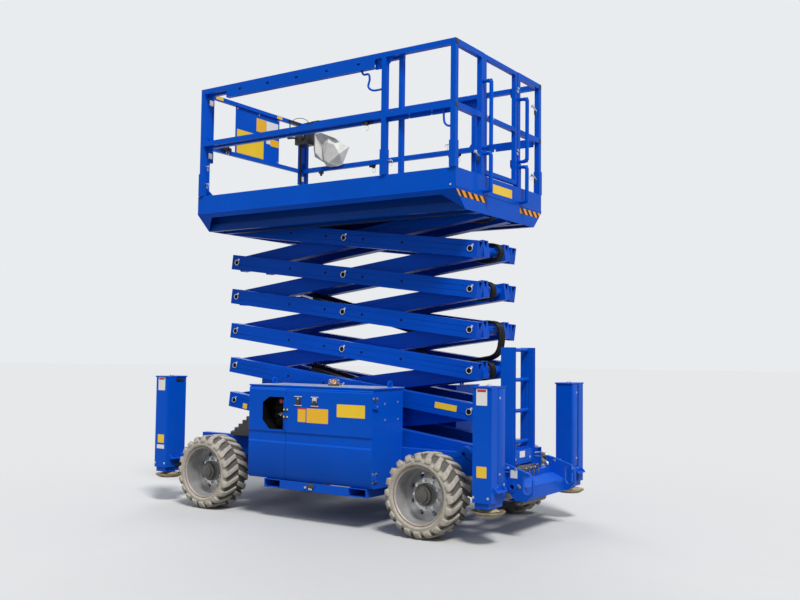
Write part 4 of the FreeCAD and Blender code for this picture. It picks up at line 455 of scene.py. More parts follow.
TYRE_FRONT = make_tyre_rubber("dusty non-marking rubber, front", AXLE + SHIFT)
TYRE_REAR = make_tyre_rubber("dusty non-marking rubber, rear", -AXLE + SHIFT)
RIM_FRONT = make_rim_paint("front rim paint", AXLE + SHIFT)
RIM_REAR = make_rim_paint("rear rim paint", -AXLE + SHIFT)
HAZARD = make_hazard_tape()
LEG = make_leg_paint()
CLOTH = make_cover_cloth()
AMBER = make_amber()
CLEAR = make_clear_plastic()
PLATE = make_tread_plate()
LID = finish("pale lid paint", (0.42, 0.52, 0.66), rough=(0.2, 0.3), coat=0.3, dust_low=0.0,
             dust_flat=0.5, dust=(0.66, 0.69, 0.74), scratch=0.04)


# Geometry node trees


def new_tree(name, inputs):
    """A geometry tree with a mesh in, a mesh out and named inputs for its sizes."""
    tree = bpy.data.node_groups.new(name, "GeometryNodeTree")
    tree.interface.new_socket("Geometry", in_out="INPUT", socket_type="NodeSocketGeometry")
    for label, kind, value in inputs:
        socket = tree.interface.new_socket(label, in_out="INPUT", socket_type=kind)
        if value is not None:
            socket.default_value = value
    tree.interface.new_socket("Geometry", in_out="OUTPUT", socket_type="NodeSocketGeometry")
    web = Web(tree)
    start = web.add("NodeGroupInput")
    end = web.add("NodeGroupOutput")
    return tree, web, start, end


def make_crease_tree():
    """Joins loose triangles and shades them smooth up to an angle."""
    tree, web, start, end = new_tree("creased shading", [("Angle", "NodeSocketFloat", 0.6)])
    merged = web.add("GeometryNodeMergeByDistance", None, Distance=0.00002)
    web.put(merged, "Geometry", start.outputs[0])
    soft = web.add("GeometryNodeSetShadeSmooth", {"domain": "FACE"})
    web.put(soft, "Geometry", merged.outputs[0])
    soft.inputs["Shade Smooth"].default_value = True
    angle = web.add("GeometryNodeInputMeshEdgeAngle")
    area = web.add("GeometryNodeInputMeshFaceArea")
    thin = web.maths("LESS_THAN", area.outputs[0], 0.0000004)
    beside = web.add("GeometryNodeFieldOnDomain", {"domain": "FACE", "data_type": "FLOAT"})
    web.put(beside, "i0", thin)
    plain = web.maths("LESS_THAN", beside.outputs[0], 0.1)
    bent = web.maths("GREATER_THAN", angle.outputs[0], start.outputs["Angle"])
    edge = web.add("GeometryNodeSetShadeSmooth", {"domain": "EDGE"})
    web.put(edge, "Geometry", soft.outputs[0])
    web.put(edge, "Selection", web.maths("MULTIPLY", bent, plain))
    edge.inputs["Shade Smooth"].default_value = False
    corner = web.maths("GREATER_THAN", angle.outputs[0], 0.7)
    weigh = web.add("GeometryNodeStoreNamedAttribute", {"domain": "EDGE", "data_type": "FLOAT"},
                    Name="bevel_weight_edge")
    web.put(weigh, "Geometry", edge.outputs[0])
    web.put(weigh, "Value", web.maths("MULTIPLY", corner, plain))
    web.put(end, "i0", weigh.outputs[0])
    return tree


def make_bolt_tree():
    """Hexagon heads with washers on points that carry a direction."""
    tree, web, start, end = new_tree(
        "bolt heads", [("Radius", "NodeSocketFloat", 0.01), ("Height", "NodeSocketFloat", 0.006),
                       ("Sides", "NodeSocketInt", 6), ("Material", "NodeSocketMaterial", None)])
    head = web.add("GeometryNodeMeshCylinder", {"fill_type": "NGON"})
    web.put(head, "Vertices", start.outputs["Sides"])
    web.put(head, "Radius", start.outputs["Radius"])
    web.put(head, "Depth", start.outputs["Height"])
    washer = web.add("GeometryNodeMeshCylinder", {"fill_type": "NGON"}, Vertices=20)
    web.put(washer, "Radius", web.maths("MULTIPLY", start.outputs["Radius"], 1.45))
    web.put(washer, "Depth", web.maths("MULTIPLY", start.outputs["Height"], 0.35))
    lift = web.add("ShaderNodeCombineXYZ")
    web.put(lift, "Z", web.maths("MULTIPLY", start.outputs["Height"], 0.5))
    raised = web.add("GeometryNodeTransform")
    web.put(raised, "Geometry", head.outputs[0])
    web.put(raised, "Translation", lift.outputs[0])
    both = web.add("GeometryNodeJoinGeometry")
    tree.links.new(raised.outputs[0], both.inputs[0])
    tree.links.new(washer.outputs[0], both.inputs[0])
    facing = web.add("GeometryNodeInputNamedAttribute", {"data_type": "FLOAT_VECTOR"},
                     Name="facing")
    turn = web.add("FunctionNodeAlignRotationToVector", {"axis": "Z"})
    web.put(turn, "Vector", facing.outputs[0])
    placed = web.add("GeometryNodeInstanceOnPoints")
    web.put(placed, "Points", start.outputs[0])
    web.put(placed, "Instance", both.outputs[0])
    web.put(placed, "Rotation", turn.outputs[0])
    real = web.add("GeometryNodeRealizeInstances")
    web.put(real, "Geometry", placed.outputs[0])
    painted = web.add("GeometryNodeSetMaterial")
    web.put(painted, "Geometry", real.outputs[0])
    web.put(painted, "Material", start.outputs["Material"])
    web.put(end, "i0", painted.outputs[0])
    return tree


def make_ring_tree():
    """Copies of one shape turned round the Y axis, each a step further."""
    tree, web, start, end = new_tree(
        "copies round a wheel",
        [("Count", "NodeSocketInt", 20), ("Shape", "NodeSocketObject", None),
         ("Start Angle", "NodeSocketFloat", 0.0), ("Material", "NodeSocketMaterial", None)])
    points = web.add("GeometryNodePoints")
    web.put(points, "Count", start.outputs["Count"])
    index = web.add("GeometryNodeInputIndex")
    step = web.maths("DIVIDE", 2 * math.pi, start.outputs["Count"])
    angle = web.maths("ADD", web.maths("MULTIPLY", index.outputs[0], step),
                      start.outputs["Start Angle"])
    turn = web.add("ShaderNodeCombineXYZ")
    web.put(turn, "Y", angle)
    shape = web.add("GeometryNodeObjectInfo", {"transform_space": "ORIGINAL"})
    web.put(shape, "Object", start.outputs["Shape"])
    placed = web.add("GeometryNodeInstanceOnPoints")
    web.put(placed, "Points", points.outputs[0])
    web.put(placed, "Instance", shape.outputs["Geometry"])
    web.put(placed, "Rotation", turn.outputs[0])
    real = web.add("GeometryNodeRealizeInstances")
    web.put(real, "Geometry", placed.outputs[0])
    both = web.add("GeometryNodeJoinGeometry")
    tree.links.new(start.outputs[0], both.inputs[0])
    tree.links.new(real.outputs[0], both.inputs[0])
    painted = web.add("GeometryNodeSetMaterial")
    web.put(painted, "Geometry", both.outputs[0])
    web.put(painted, "Material", start.outputs["Material"])
    web.put(end, "i0", painted.outputs[0])
    return tree


def make_mesh_floor_tree():
    """Crossed flat bars over a rectangle, as in welded grating."""
    tree, web, start, end = new_tree(
        "welded grating",
        [("Length", "NodeSocketFloat", 2.0), ("Width", "NodeSocketFloat", 0.5),
         ("Spacing", "NodeSocketFloat", 0.04), ("Bar", "NodeSocketFloat", 0.005),
         ("Material", "NodeSocketMaterial", None)])
    joined = web.add("GeometryNodeJoinGeometry")
    for run, other, axis in (("Length", "Width", "X"), ("Width", "Length", "Y")):
        count = web.maths("FLOOR", web.maths("DIVIDE", start.outputs[run],
                                             start.outputs["Spacing"]))
        line = web.add("GeometryNodeMeshLine", {"mode": "OFFSET"})
        web.put(line, "Count", count)
        begin = web.add("ShaderNodeCombineXYZ")
        web.put(begin, axis, web.maths("MULTIPLY", start.outputs[run], -0.5))
        web.put(line, "Start Location", begin.outputs[0])
        step = web.add("ShaderNodeCombineXYZ")
        web.put(step, axis, start.outputs["Spacing"])
        web.put(line, "Offset", step.outputs[0])
        size = web.add("ShaderNodeCombineXYZ")
        web.put(size, axis, start.outputs["Bar"])
        web.put(size, "Y" if axis == "X" else "X", start.outputs[other])
        web.put(size, "Z", start.outputs["Bar"])
        bar = web.add("GeometryNodeMeshCube")
        web.put(bar, "Size", size.outputs[0])
        placed = web.add("GeometryNodeInstanceOnPoints")
        web.put(placed, "Points", line.outputs[0])
        web.put(placed, "Instance", bar.outputs[0])
        tree.links.new(placed.outputs[0], joined.inputs[0])
    move = web.add("GeometryNodeObjectInfo", {"transform_space": "ORIGINAL"})
    tree.nodes.remove(move)
    real = web.add("GeometryNodeRealizeInstances")
    web.put(real, "Geometry", joined.outputs[0])
    painted = web.add("GeometryNodeSetMaterial")
    web.put(painted, "Geometry", real.outputs[0])
    web.put(painted, "Material", start.outputs["Material"])
    web.put(end, "i0", painted.outputs[0])
    return tree


CREASE = make_crease_tree()
BOLTS = make_bolt_tree()
ROUND = make_ring_tree()
GRATING = make_mesh_floor_tree()


def run_tree(piece, tree, **values):
    """Put a tree on a piece with its inputs set by the sockets' identifiers."""
    modifier = piece.modifiers.new(tree.name, "NODES")
    modifier.node_group = tree
    for item in tree.interface.items_tree:
        if item.item_type != "SOCKET" or item.in_out != "INPUT":
            continue
        key = item.name.replace(" ", "_")
        if key in values:
            modifier[item.identifier] = values[key]
    return modifier


def settle(piece):
    """Turn a piece's modifiers into its own mesh."""
    graph = bpy.context.evaluated_depsgraph_get()
    made = bpy.data.meshes.new_from_object(piece.evaluated_get(graph))
    piece.modifiers.clear()
    piece.data = made
    return piece


def show(name, mesh):
    piece = bpy.data.objects.new(name, mesh)
    bpy.context.scene.collection.objects.link(piece)
    return piece


def mark_creases(mesh, angle=0.6):
    """Shade a mesh smooth, with its edges past an angle kept sharp."""
    work = bmesh.new()
    work.from_mesh(mesh)
    for face in work.faces:
        face.smooth = True
    for edge in work.edges:
        edge.smooth = len(edge.link_faces) == 2 and edge.calc_face_angle(0.0) < angle
    work.to_mesh(mesh)
    work.free()


class Kit:
    """Collects small solids of one finish on one body, and makes them one piece."""

    def __init__(self, name, body, material):
        self.name = name
        self.body = body
        self.material = material
        self.work = bmesh.new()

    def hull(self, rings, closed=True):
        """Join rings of points into a skin, capped at both ends."""
        rows = [[self.work.verts.new(p) for p in ring] for ring in rings]
        count = len(rows[0])
        for first, second in zip(rows, rows[1:]):
            for index in range(count):
                after = (index + 1) % count
                self.work.faces.new((first[index], first[after], second[after], second[index]))
        if closed:
            self.work.faces.new(list(reversed(rows[0])))
            self.work.faces.new(rows[-1])
        return self

    def block(self, x0, x1, y0, y1, z0, z1, shift=True):
        """A block between two corners."""
        if shift:
            x0 += SHIFT
            x1 += SHIFT
        low = [(x0, y0, z0), (x1, y0, z0), (x1, y1, z0), (x0, y1, z0)]
        high = [(x, y, z1) for x, y, z in low]
        return self.hull([low, high])

    def prism(self, points, along):
        """A flat outline of frame points drawn out along a direction."""
        along = Vector(along)
        base = [Vector(p) for p in points]
        return self.hull([base, [p + along for p in base]])

    def rod(self, start, end, radius, sides=20, end_radius=None):
        """A round bar, or a cone, between two frame points."""
        start = Vector(start)
        end = Vector(end)
        line = (end - start).normalized()
        side = line.orthogonal().normalized()
        other = line.cross(side)
        rings = []
        for centre, size in ((start, radius), (end, radius if end_radius is None
                                               else end_radius)):
            ring = []
            for index in range(sides):
                angle = 2 * math.pi * index / sides
                ring.append(centre + side * size * math.cos(angle)
                            + other * size * math.sin(angle))
            rings.append(ring)
        return self.hull(rings)

    def washer(self, centre, axis, outer, inner, depth, sides=32):
        """A flat ring that stands on a point and faces along an axis."""
        centre = Vector(centre)
        line = Vector(axis).normalized()
        side = line.orthogonal().normalized()
        other = line.cross(side)
        rows = []
        for size, height in ((inner, 0), (outer, 0), (outer, depth), (inner, depth)):
            row = []
            for index in range(sides):
                angle = 2 * math.pi * index / sides
                row.append(self.work.verts.new(
                    centre + line * height + side * size * math.cos(angle)
                    + other * size * math.sin(angle)))
            rows.append(row)
        for first, second in zip(rows, rows[1:] + rows[:1]):
            for index in range(sides):
                after = (index + 1) % sides
                self.work.faces.new((first[index], first[after], second[after],
                                     second[index]))
        return self

    def turned(self, centre, axis, profile, sides=40):
        """A profile of (radius, height) pairs spun round an axis through a point."""
        centre = Vector(centre)
        line = Vector(axis).normalized()
        side = line.orthogonal().normalized()
        other = line.cross(side)
        rings = []
        for size, height in profile:
            size = max(size, 0.0004)
            ring = []
            for index in range(sides):
                angle = 2 * math.pi * index / sides
                ring.append(centre + line * height + side * size * math.cos(angle)
                            + other * size * math.sin(angle))
            rings.append(ring)
        return self.hull(rings)

    def pipe(self, points, radius, sides=12, steps=8):
        """A bent pipe along a smooth line through frame points."""
        points = [Vector(p) for p in points]
        padded = [points[0] * 2 - points[1]] + points + [points[-1] * 2 - points[-2]]
        line = []
        for index in range(1, len(padded) - 2):
            a, b, c, d = padded[index - 1:index + 3]
            for step in range(steps):
                t = step / steps
                line.append(0.5 * ((2 * b) + (c - a) * t + (2 * a - 5 * b + 4 * c - d) * t * t
                                   + (3 * b - a - 3 * c + d) * t ** 3))
        line.append(points[-1])
        side = (line[1] - line[0]).orthogonal().normalized()
        rings = []
        for index, point in enumerate(line):
            ahead = line[min(index + 1, len(line) - 1)]
            behind = line[max(index - 1, 0)]
            way = (ahead - behind).normalized()
            side = (side - way * side.dot(way)).normalized()
            other = way.cross(side)
            rings.append([point + side * radius * math.cos(2 * math.pi * k / sides)
                          + other * radius * math.sin(2 * math.pi * k / sides)
                          for k in range(sides)])
        return self.hull(rings)

    def done(self, bevel=0.0012, segments=2, crease=0.6, slot=None):
        """Make the piece, soften its edges and let it ride on its body."""
        bmesh.ops.recalc_face_normals(self.work, faces=self.work.faces)
        mesh = bpy.data.meshes.new(self.name)
        self.work.to_mesh(mesh)
        self.work.free()
        mark_creases(mesh, crease)
        mesh.materials.append(self.material)
        piece = show(self.name, mesh)
        if bevel:
            soft = piece.modifiers.new("edges", "BEVEL")
            soft.width = bevel
            soft.segments = segments
            soft.limit_method = "ANGLE"
            soft.angle_limit = 0.6
            soft.harden_normals = False
            settle(piece)
            mark_creases(piece.data, 0.9)
        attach(piece, self.body)
        return piece


GROUPS = {}


def fittings(body, material, bevel=0.0012):
    key = (body, material.name, bevel)
    if key not in GROUPS:
        label = "%s_fittings_%s_%d" % (body, material.name.replace(" ", "_"), len(GROUPS))
        GROUPS[key] = Kit(label.replace("-", "_").replace(",", ""), body, material)
    return GROUPS[key]


def finish_fittings():
    """Turn every gathered kit into one piece."""
    for (body, label, bevel), kit in GROUPS.items():
        kit.done(bevel)


def bolts(name, body, places, radius=0.009, height=0.007, sides=6, material=STEEL):
    """Hexagon or round heads on a list of (frame point, direction) pairs."""
    mesh = bpy.data.meshes.new(name)
    mesh.from_pydata([tuple(p) for p, n in places], [], [])
    facing = mesh.attributes.new("facing", "FLOAT_VECTOR", "POINT")
    for index, (p, n) in enumerate(places):
        facing.data[index].vector = n
    piece = show(name, mesh)
    run_tree(piece, BOLTS, Radius=radius, Height=height, Sides=sides, Material=material)
    settle(piece)
    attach(piece, body)
    return piece


def dress(node, material, bevel=0.0, angle=0.6):
    """Give a CAD node its finish and shade its curves smoothly."""
    piece = NODES[node]
    if not piece.data.materials:
        piece.data.materials.append(material)
    for place in piece.material_slots:
        place.material = material
    run_tree(piece, CREASE, Angle=angle)
    if bevel:
        soft = piece.modifiers.new("edges", "BEVEL")
        soft.width = bevel
        soft.segments = 2
        soft.limit_method = "WEIGHT"
        soft.use_clamp_overlap = True
        soft.harden_normals = True
    return piece


# CAD nodes and their finishes

dress("rear_lug_beam", BLUE, bevel=0.0018, angle=0.2)
for label in ("chassis_frame", "outrigger_beams", "ladder", "service_box", "engine_door", "service_door", "guard_rails", "entry_gate",
              "extension_rails", "outrigger_columns", "fork_pockets"):
    dress(label, BLUE, bevel=0.0018)
dress("engine_box", BOX_BLUE_WITH_PAINTED_SHADE, bevel=0.0018)
dress("lifting_eyes", BLUE, bevel=0.0015)
dress("platform_deck", BLUE, bevel=0.0015)
dress("deck_beams", DECK_BLUE_DARKENED_AS_SHADE, bevel=0.0015)
for stage in range(1, STAGES + 1):
    dress("outer_arms_%d" % stage, ARM_BLUE_DARKENED_AS_SHADE, bevel=0.002)
    dress("inner_arms_%d" % stage, ARM_BLUE_DARKENED_AS_SHADE, bevel=0.002)
for number in (1, 2):
    dress("lift_barrel_%d" % number, GLOSS_BLACK)
    dress("lift_rod_%d" % number, CHROME)
for label in ("front_axle", "rear_axle", "knuckle_left", "knuckle_right", "tie_rod"):
    dress(label, DARK_STEEL)
for label in ("front_left", "front_right", "rear_left", "rear_right"):
    dress("outrigger_leg_" + label, LEG)
    dress("rim_" + label, RIM_FRONT if "front" in label else RIM_REAR)
dress("extension_deck", PLATE)
dress("sign_panel", BLUE)
dress("control_panel", PAINTED_SHADE_AND_BLACK_PARTS)
dress("engine_block", CAST)
dress("tank_block", CAST)
dress("console", BLACK, bevel=0.003)
dress("front_cover", BLACK, bevel=0.003)


# Tyres


def tyre_lug():
    """One tread bar on top of a wheel at the origin, with a rounded, scalloped shoulder."""
    work = bmesh.new()
    half = TYRE_W / 2
    base = TYRE_R - 0.024
    run = 0.042
    top = math.sqrt(TYRE_R ** 2 - run ** 2) - 0.0006
    profile = [
        (half - 0.004, top), (0.06, top), (0.034, top - 0.005), (0.014, top - 0.019),
        (0.004, top - 0.038), (0.0015, top - 0.056), (0.012, top - 0.066),
    ]
    under = [
        (half - 0.004, base - 0.004), (0.06, base - 0.004), (0.045, base - 0.006),
        (0.032, base - 0.014), (0.024, base - 0.026), (0.02, base - 0.04),
        (0.024, base - 0.05),
    ]
    slope = 0.050 / (half - 0.03)
    rows = []
    for (inward, radius), (deep_in, deep) in zip(profile, under):
        middle = slope * (inward - half * 0.62)
        width = 0.019 + 0.007 * max(0.0, (0.06 - inward) / 0.06)
        foot = width + 0.006
        row = []
        for across, (u, r) in ((-foot, (deep_in, deep)), (-width, (inward, radius)),
                               (width, (inward, radius)), (foot, (deep_in, deep))):
            row.append(work.verts.new((middle + across, TYRE_FACE - u, r)))
        rows.append(row)
    for first, second in zip(rows, rows[1:]):
        for index in range(4):
            after = (index + 1) % 4
            work.faces.new((first[index], first[after], second[after], second[index]))
    work.faces.new(list(reversed(rows[0])))
    work.faces.new(rows[-1])
    bmesh.ops.recalc_face_normals(work, faces=work.faces)
    mesh = bpy.data.meshes.new("tread bar")
    work.to_mesh(mesh)
    work.free()
    piece = show("tread bar", mesh)
    soft = piece.modifiers.new("edges", "BEVEL")
    soft.width = 0.004
    soft.segments = 2
    soft.limit_method = "ANGLE"
    soft.angle_limit = 0.5
    settle(piece)
    mark_creases(piece.data, 0.9)
    return piece


def spun_profile(name, profile, sides=96):
    """A wheel profile of (radius, distance inwards) pairs spun round the Y axis."""
    work = bmesh.new()
    rings = []
    for radius, inward in profile:
        rings.append([work.verts.new((radius * math.sin(2 * math.pi * k / sides),
                                      TYRE_FACE - inward,
                                      radius * math.cos(2 * math.pi * k / sides)))
                      for k in range(sides)])
    for first, second in zip(rings, rings[1:] + rings[:1]):
        for index in range(sides):
            after = (index + 1) % sides
            work.faces.new((first[index], first[after], second[after], second[index]))
    bmesh.ops.recalc_face_normals(work, faces=work.faces)
    mesh = bpy.data.meshes.new(name)
    work.to_mesh(mesh)
    work.free()
    mark_creases(mesh, 0.8)
    return mesh


def place_wheel_part(mesh, x, side):
    """Move a wheel part from the origin to its wheel, mirrored on the right."""
    if side < 0:
        mesh.transform(Matrix.Diagonal((1, -1, 1, 1)))
        mesh.flip_normals()
    mesh.transform(Matrix.Translation((x + SHIFT, 0, TYRE_R)))


CARCASS = [
    (0.2185, 0.0225), (0.2285, 0.0225), (0.2288, 0.014), (0.233, 0.009), (0.2395, 0.008),
    (0.2405, 0.0055), (0.246, 0.005), (0.2468, 0.0075), (0.256, 0.0065), (0.268, 0.009),
    (0.280, 0.017), (0.290, 0.029), (0.297, 0.045), (0.3005, 0.07), (0.3015, 0.1475),
    (0.3005, 0.225), (0.297, 0.25), (0.29, 0.266), (0.28, 0.278), (0.268, 0.286),
    (0.25, 0.29), (0.235, 0.288), (0.2285, 0.281), (0.2185, 0.273),
]
LUGS = 20


def make_tyre(label, x, side):
    """A wide tyre with two staggered rows of bars that meet in chevrons."""
    lug = tyre_lug()
    second = show("tread bar, inner row", lug.data.copy())
    middle = TYRE_FACE - TYRE_W / 2
    second.data.transform(Matrix.Translation((0, middle, 0)) @ Matrix.Diagonal((1, -1, 1, 1))
                          @ Matrix.Translation((0, -middle, 0)))
    second.data.flip_normals()
    piece = show("tyre_dress_" + label, spun_profile("tyre " + label, CARCASS))
    rubber = TYRE_FRONT if x > 0 else TYRE_REAR
    run_tree(piece, ROUND, Count=LUGS, Shape=lug, Start_Angle=0.12, Material=rubber)
    settle(piece)
    run_tree(piece, ROUND, Count=LUGS, Shape=second, Start_Angle=0.12 + math.pi / LUGS,
             Material=rubber)
    settle(piece)
    bpy.data.objects.remove(lug)
    bpy.data.objects.remove(second)
    place_wheel_part(piece.data, x, side)
    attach(piece, "wheel_" + label)
    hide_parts("tyre_" + label)
    return piece


def make_wheel_trim(label, x, side):
    """Studs, hub cap, drive hub and hub bolts in the wheel's dish."""
    body = "wheel_" + label
    face = side * (TYRE_FACE - 0.150)
    out = (0, side, 0)
    centre = at(x, 0, TYRE_R)
    hub = Kit("hub_" + label, body, GLOSS_BLACK)
    hub.turned(centre + Vector((0, face + side * 0.031, 0)), out,
               [(0.086, 0.0), (0.086, 0.012), (0.078, 0.018), (0.072, 0.036), (0.058, 0.044),
                (0.052, 0.058), (0.03, 0.064), (0.0, 0.065)])
    hub.done(0)
    studs = []
    for index in range(9):
        angle = 2 * math.pi * (index + 0.3) / 9
        spot = Vector((0.108 * math.sin(angle), face, 0.108 * math.cos(angle)))
        studs.append((centre + spot, out))
    bolts("studs_" + label, body, studs, radius=0.0125, height=0.02, material=STEEL)
    caps = []
    for index in range(8):
        angle = 2 * math.pi * index / 8
        spot = Vector((0.063 * math.sin(angle), face + side * 0.068, 0.063 * math.cos(angle)))
        caps.append((centre + spot, out))
    bolts("hub_bolts_" + label, body, caps, radius=0.006, height=0.006, material=DARK_STEEL)


for label, x, side in (("front_left", AXLE, 1), ("front_right", AXLE, -1),
                       ("rear_left", -AXLE, 1), ("rear_right", -AXLE, -1)):
    make_tyre(label, x, side)
    make_wheel_trim(label, x, side)


# Arms: pin collars, keeper tabs, plugs and labels


def arm_point(stage, share, rise, lift=0.0):
    """A point along an arm's middle line, lift metres above it."""
    length = math.hypot(2 * PIN_X, PITCH)
    along = share * length
    start = FIRST_PIN + (stage - 1) * PITCH if rise > 0 else FIRST_PIN + stage * PITCH
    x = -PIN_X + along * math.cos(RISE) - rise * lift * math.sin(RISE)
    z = start + rise * along * math.sin(RISE) + lift * math.cos(RISE)
    return x, z


def dress_outer_arms(stage):
    """Collars and tabs at the three pins of each outer arm, near-black discs of painted shade in
    the pin bores, and its round plugs.
    """
    body = "outer_arms_%d" % stage
    collars = Kit("pin_collars_%d" % stage, body, STEEL)
    bore_shade_and_plugs = Kit("pin_bores_%d" % stage, body, PAINTED_SHADE_AND_BLACK_PARTS)
    tabs = Kit("pin_keepers_%d" % stage, body, ARM_BLUE_DARKENED_AS_SHADE)
    heads = []
    for side in (1, -1):
        face = side * ARM_FACE
        out = Vector((0, side, 0))
        for share in (0.0, 0.5, 1.0):
            x, z = arm_point(stage, share, 1)
            if stage == STAGES and share == 1.0 or stage == 1 and share == 0.0:
                continue
            spot = at(x, face, z)
            collars.turned(spot, out, [(0.0270, 0.0), (0.0270, 0.0060), (0.0256, 0.0078),
                                       (0.0232, 0.0080), (0.0208, 0.0062)], 32)
            # painted shade: a near-black disc inside each collar stands in for the shade in the
            # bore
            bore_shade_and_plugs.rod(spot + out * 0.0062, spot + out * 0.0066, 0.0209, 28)
            bolt = spot + Vector((-0.024, 0, 0.027))
            way = (bolt - spot).normalized()
            wide = Vector((-way.z, 0, way.x)) * 0.014
            tip = bolt + way * 0.010
            tabs.prism([spot + wide, bolt + wide, tip + wide * 0.6, tip - wide * 0.6,
                        bolt - wide, spot - wide], out * 0.003)
            heads.append((bolt + out * 0.003, out))
        for place in (0.258, 0.418, 0.579, 0.740):
            x, z = arm_point(stage, place, 1)
            spot = at(x, face, z)
            bore_shade_and_plugs.rod(spot, spot + out * 0.0012, 0.011)
    collars.done(0.0008)
    bore_shade_and_plugs.done(0)
    tabs.done(0.001)
    bolts("pin_keeper_bolts_%d" % stage, body, heads, radius=0.0068, height=0.0042)


for stage in range(1, STAGES + 1):
    dress_outer_arms(stage)


def label_plate(name, body, x0, x1, z0, z1, face, material, turn=0.0, thick=0.0012):
    """A thin plate on a side face, turned with the part that it is stuck to."""
    kit = Kit(name, body, material)
    side = 1 if face > 0 else -1
    middle = at((x0 + x1) / 2, face, (z0 + z1) / 2)
    half_x = abs(x1 - x0) / 2
    half_z = abs(z1 - z0) / 2
    corner = min(half_x, half_z) * 0.07
    outline = []
    for sx, sz in ((1, 1), (-1, 1), (-1, -1), (1, -1)):
        steps = ((0, corner), (corner, 0)) if sx * sz > 0 else ((corner, 0), (0, corner))
        for dx, dz in steps:
            u = sx * (half_x - dx)
            v = sz * (half_z - dz)
            outline.append(middle + Vector((u * math.cos(turn) - v * math.sin(turn), 0,
                                            u * math.sin(turn) + v * math.cos(turn))))
    kit.prism(outline, (0, side * thick, 0))
    return kit.done(0)


# Labels: each is bare, in the colour and place of the real one


def end_label(body, x, y0, y1, z0, z1, material, way=-1, thick=0.0012):
    """A thin plate on a face that looks along X."""
    low, high = sorted((x, x + way * thick))
    fittings(body, material, 0.0).block(low, high, y0, y1, z0, z1)


def add_labels():
    for name, x0, x1, z0, z1, material in (
            ("orange_1", -0.040, 0.043, 0.827, 0.942, ORANGE),
            ("orange_2", -0.276, -0.051, 0.824, 0.942, ORANGE),
            ("yellow", -0.646, -0.365, 0.885, 0.988, YELLOW)):
        label_plate("box_label_" + name, "engine_door", x0, x1, z0, z1, BOX_FACE, material)
    label_plate("box_label_head", "engine_door", -0.040, 0.043, 0.932, 0.942, BOX_FACE, RED,
                thick=0.0016)
    for side in (1, -1):
        word = "left" if side > 0 else "right"
        face = side * ARM_FACE
        label_plate("arm_label_rear_" + word, "outer_arms_2", -1.170, -0.962, 0.951, 1.000, face,
                    YELLOW, RISE)
        label_plate("arm_label_front_" + word, "outer_arms_1", 1.118, 1.171, 0.866, 0.914, face,
                    YELLOW, RISE)
        for x, z in ((-1.680, 1.092), (1.724, 1.096)):
            sheet = side * COLUMN_FACE
            label_plate("column_white_%s_%d" % (word, x * 10), "chassis", x - 0.045, x + 0.045,
                        z - 0.062, z + 0.060, sheet, WHITE)
            label_plate("column_red_%s_%d" % (word, x * 10), "chassis", x - 0.036, x + 0.036,
                        z + 0.036, z + 0.053, sheet, RED, thick=0.0018)
        label_plate("column_yellow_rear_" + word, "chassis", -1.723, -1.640, 0.506, 0.588,
                    sheet, YELLOW)
        label_plate("column_yellow_front_" + word, "chassis", 1.678, 1.760, 0.548, 0.624,
                    sheet, YELLOW)
        label_plate("column_note_front_" + word, "chassis", 1.674, 1.770, 0.494, 0.530,
                    sheet, WHITE)
        label_plate("lug_label_" + word, "chassis", -1.748, -1.690, 0.462, 0.522,
                    side * 0.400, WHITE)
    end_label("chassis", LADDER_BACK, -0.023, 0.067, 0.580, 0.630, WHITE)
    end_label("platform", DECK_END, -0.18, 0.159, 2.722, 2.795, YELLOW)
    front = PANEL_BACK
    end_label("extension", front, -0.078, 0.303, 3.338, 3.572, YELLOW)
    end_label("extension", front, -0.114, 0.030, 3.605, 3.738, ORANGE)
    end_label("extension", front, -0.294, -0.116, 3.636, 3.737, WHITE)
    end_label("extension", front, -0.177, -0.117, 3.508, 3.572, WHITE)
    end_label("extension", front, -0.306, -0.179, 3.495, 3.566, ORANGE)
    rail = fittings("extension", YELLOW, 0.0)
    for y0, y1 in ((0.514, 0.607), (-0.336, -0.259)):
        rail.block(1.3388, 1.340, y0, y1, 3.793, 3.821)


def add_hazard_tape():
    """Striped tape along the slanted ends of the rear skirt."""
    tape = fittings("platform", HAZARD, 0.0)
    low, high = 2.621, 2.668
    x = SHIFT + DECK_END
    taper = (SKIRT_TOP_HALF - SKIRT_LOW_HALF) / (SKIRT_TOP_Z - SKIRT_LOW_Z)
    for side, inner in ((1, 0.275), (-1, 0.331)):
        wide = SKIRT_TOP_HALF - 0.004 - max(0.0, SKIRT_TOP_Z - high) * taper
        slim = wide - (high - low) * taper
        outline = [(x, side * inner, low), (x, side * slim, low), (x, side * wide, high),
                   (x, side * inner, high)]
        tape.prism(outline, (-0.0012, 0, 0))


# Boxes at the sides of the frame


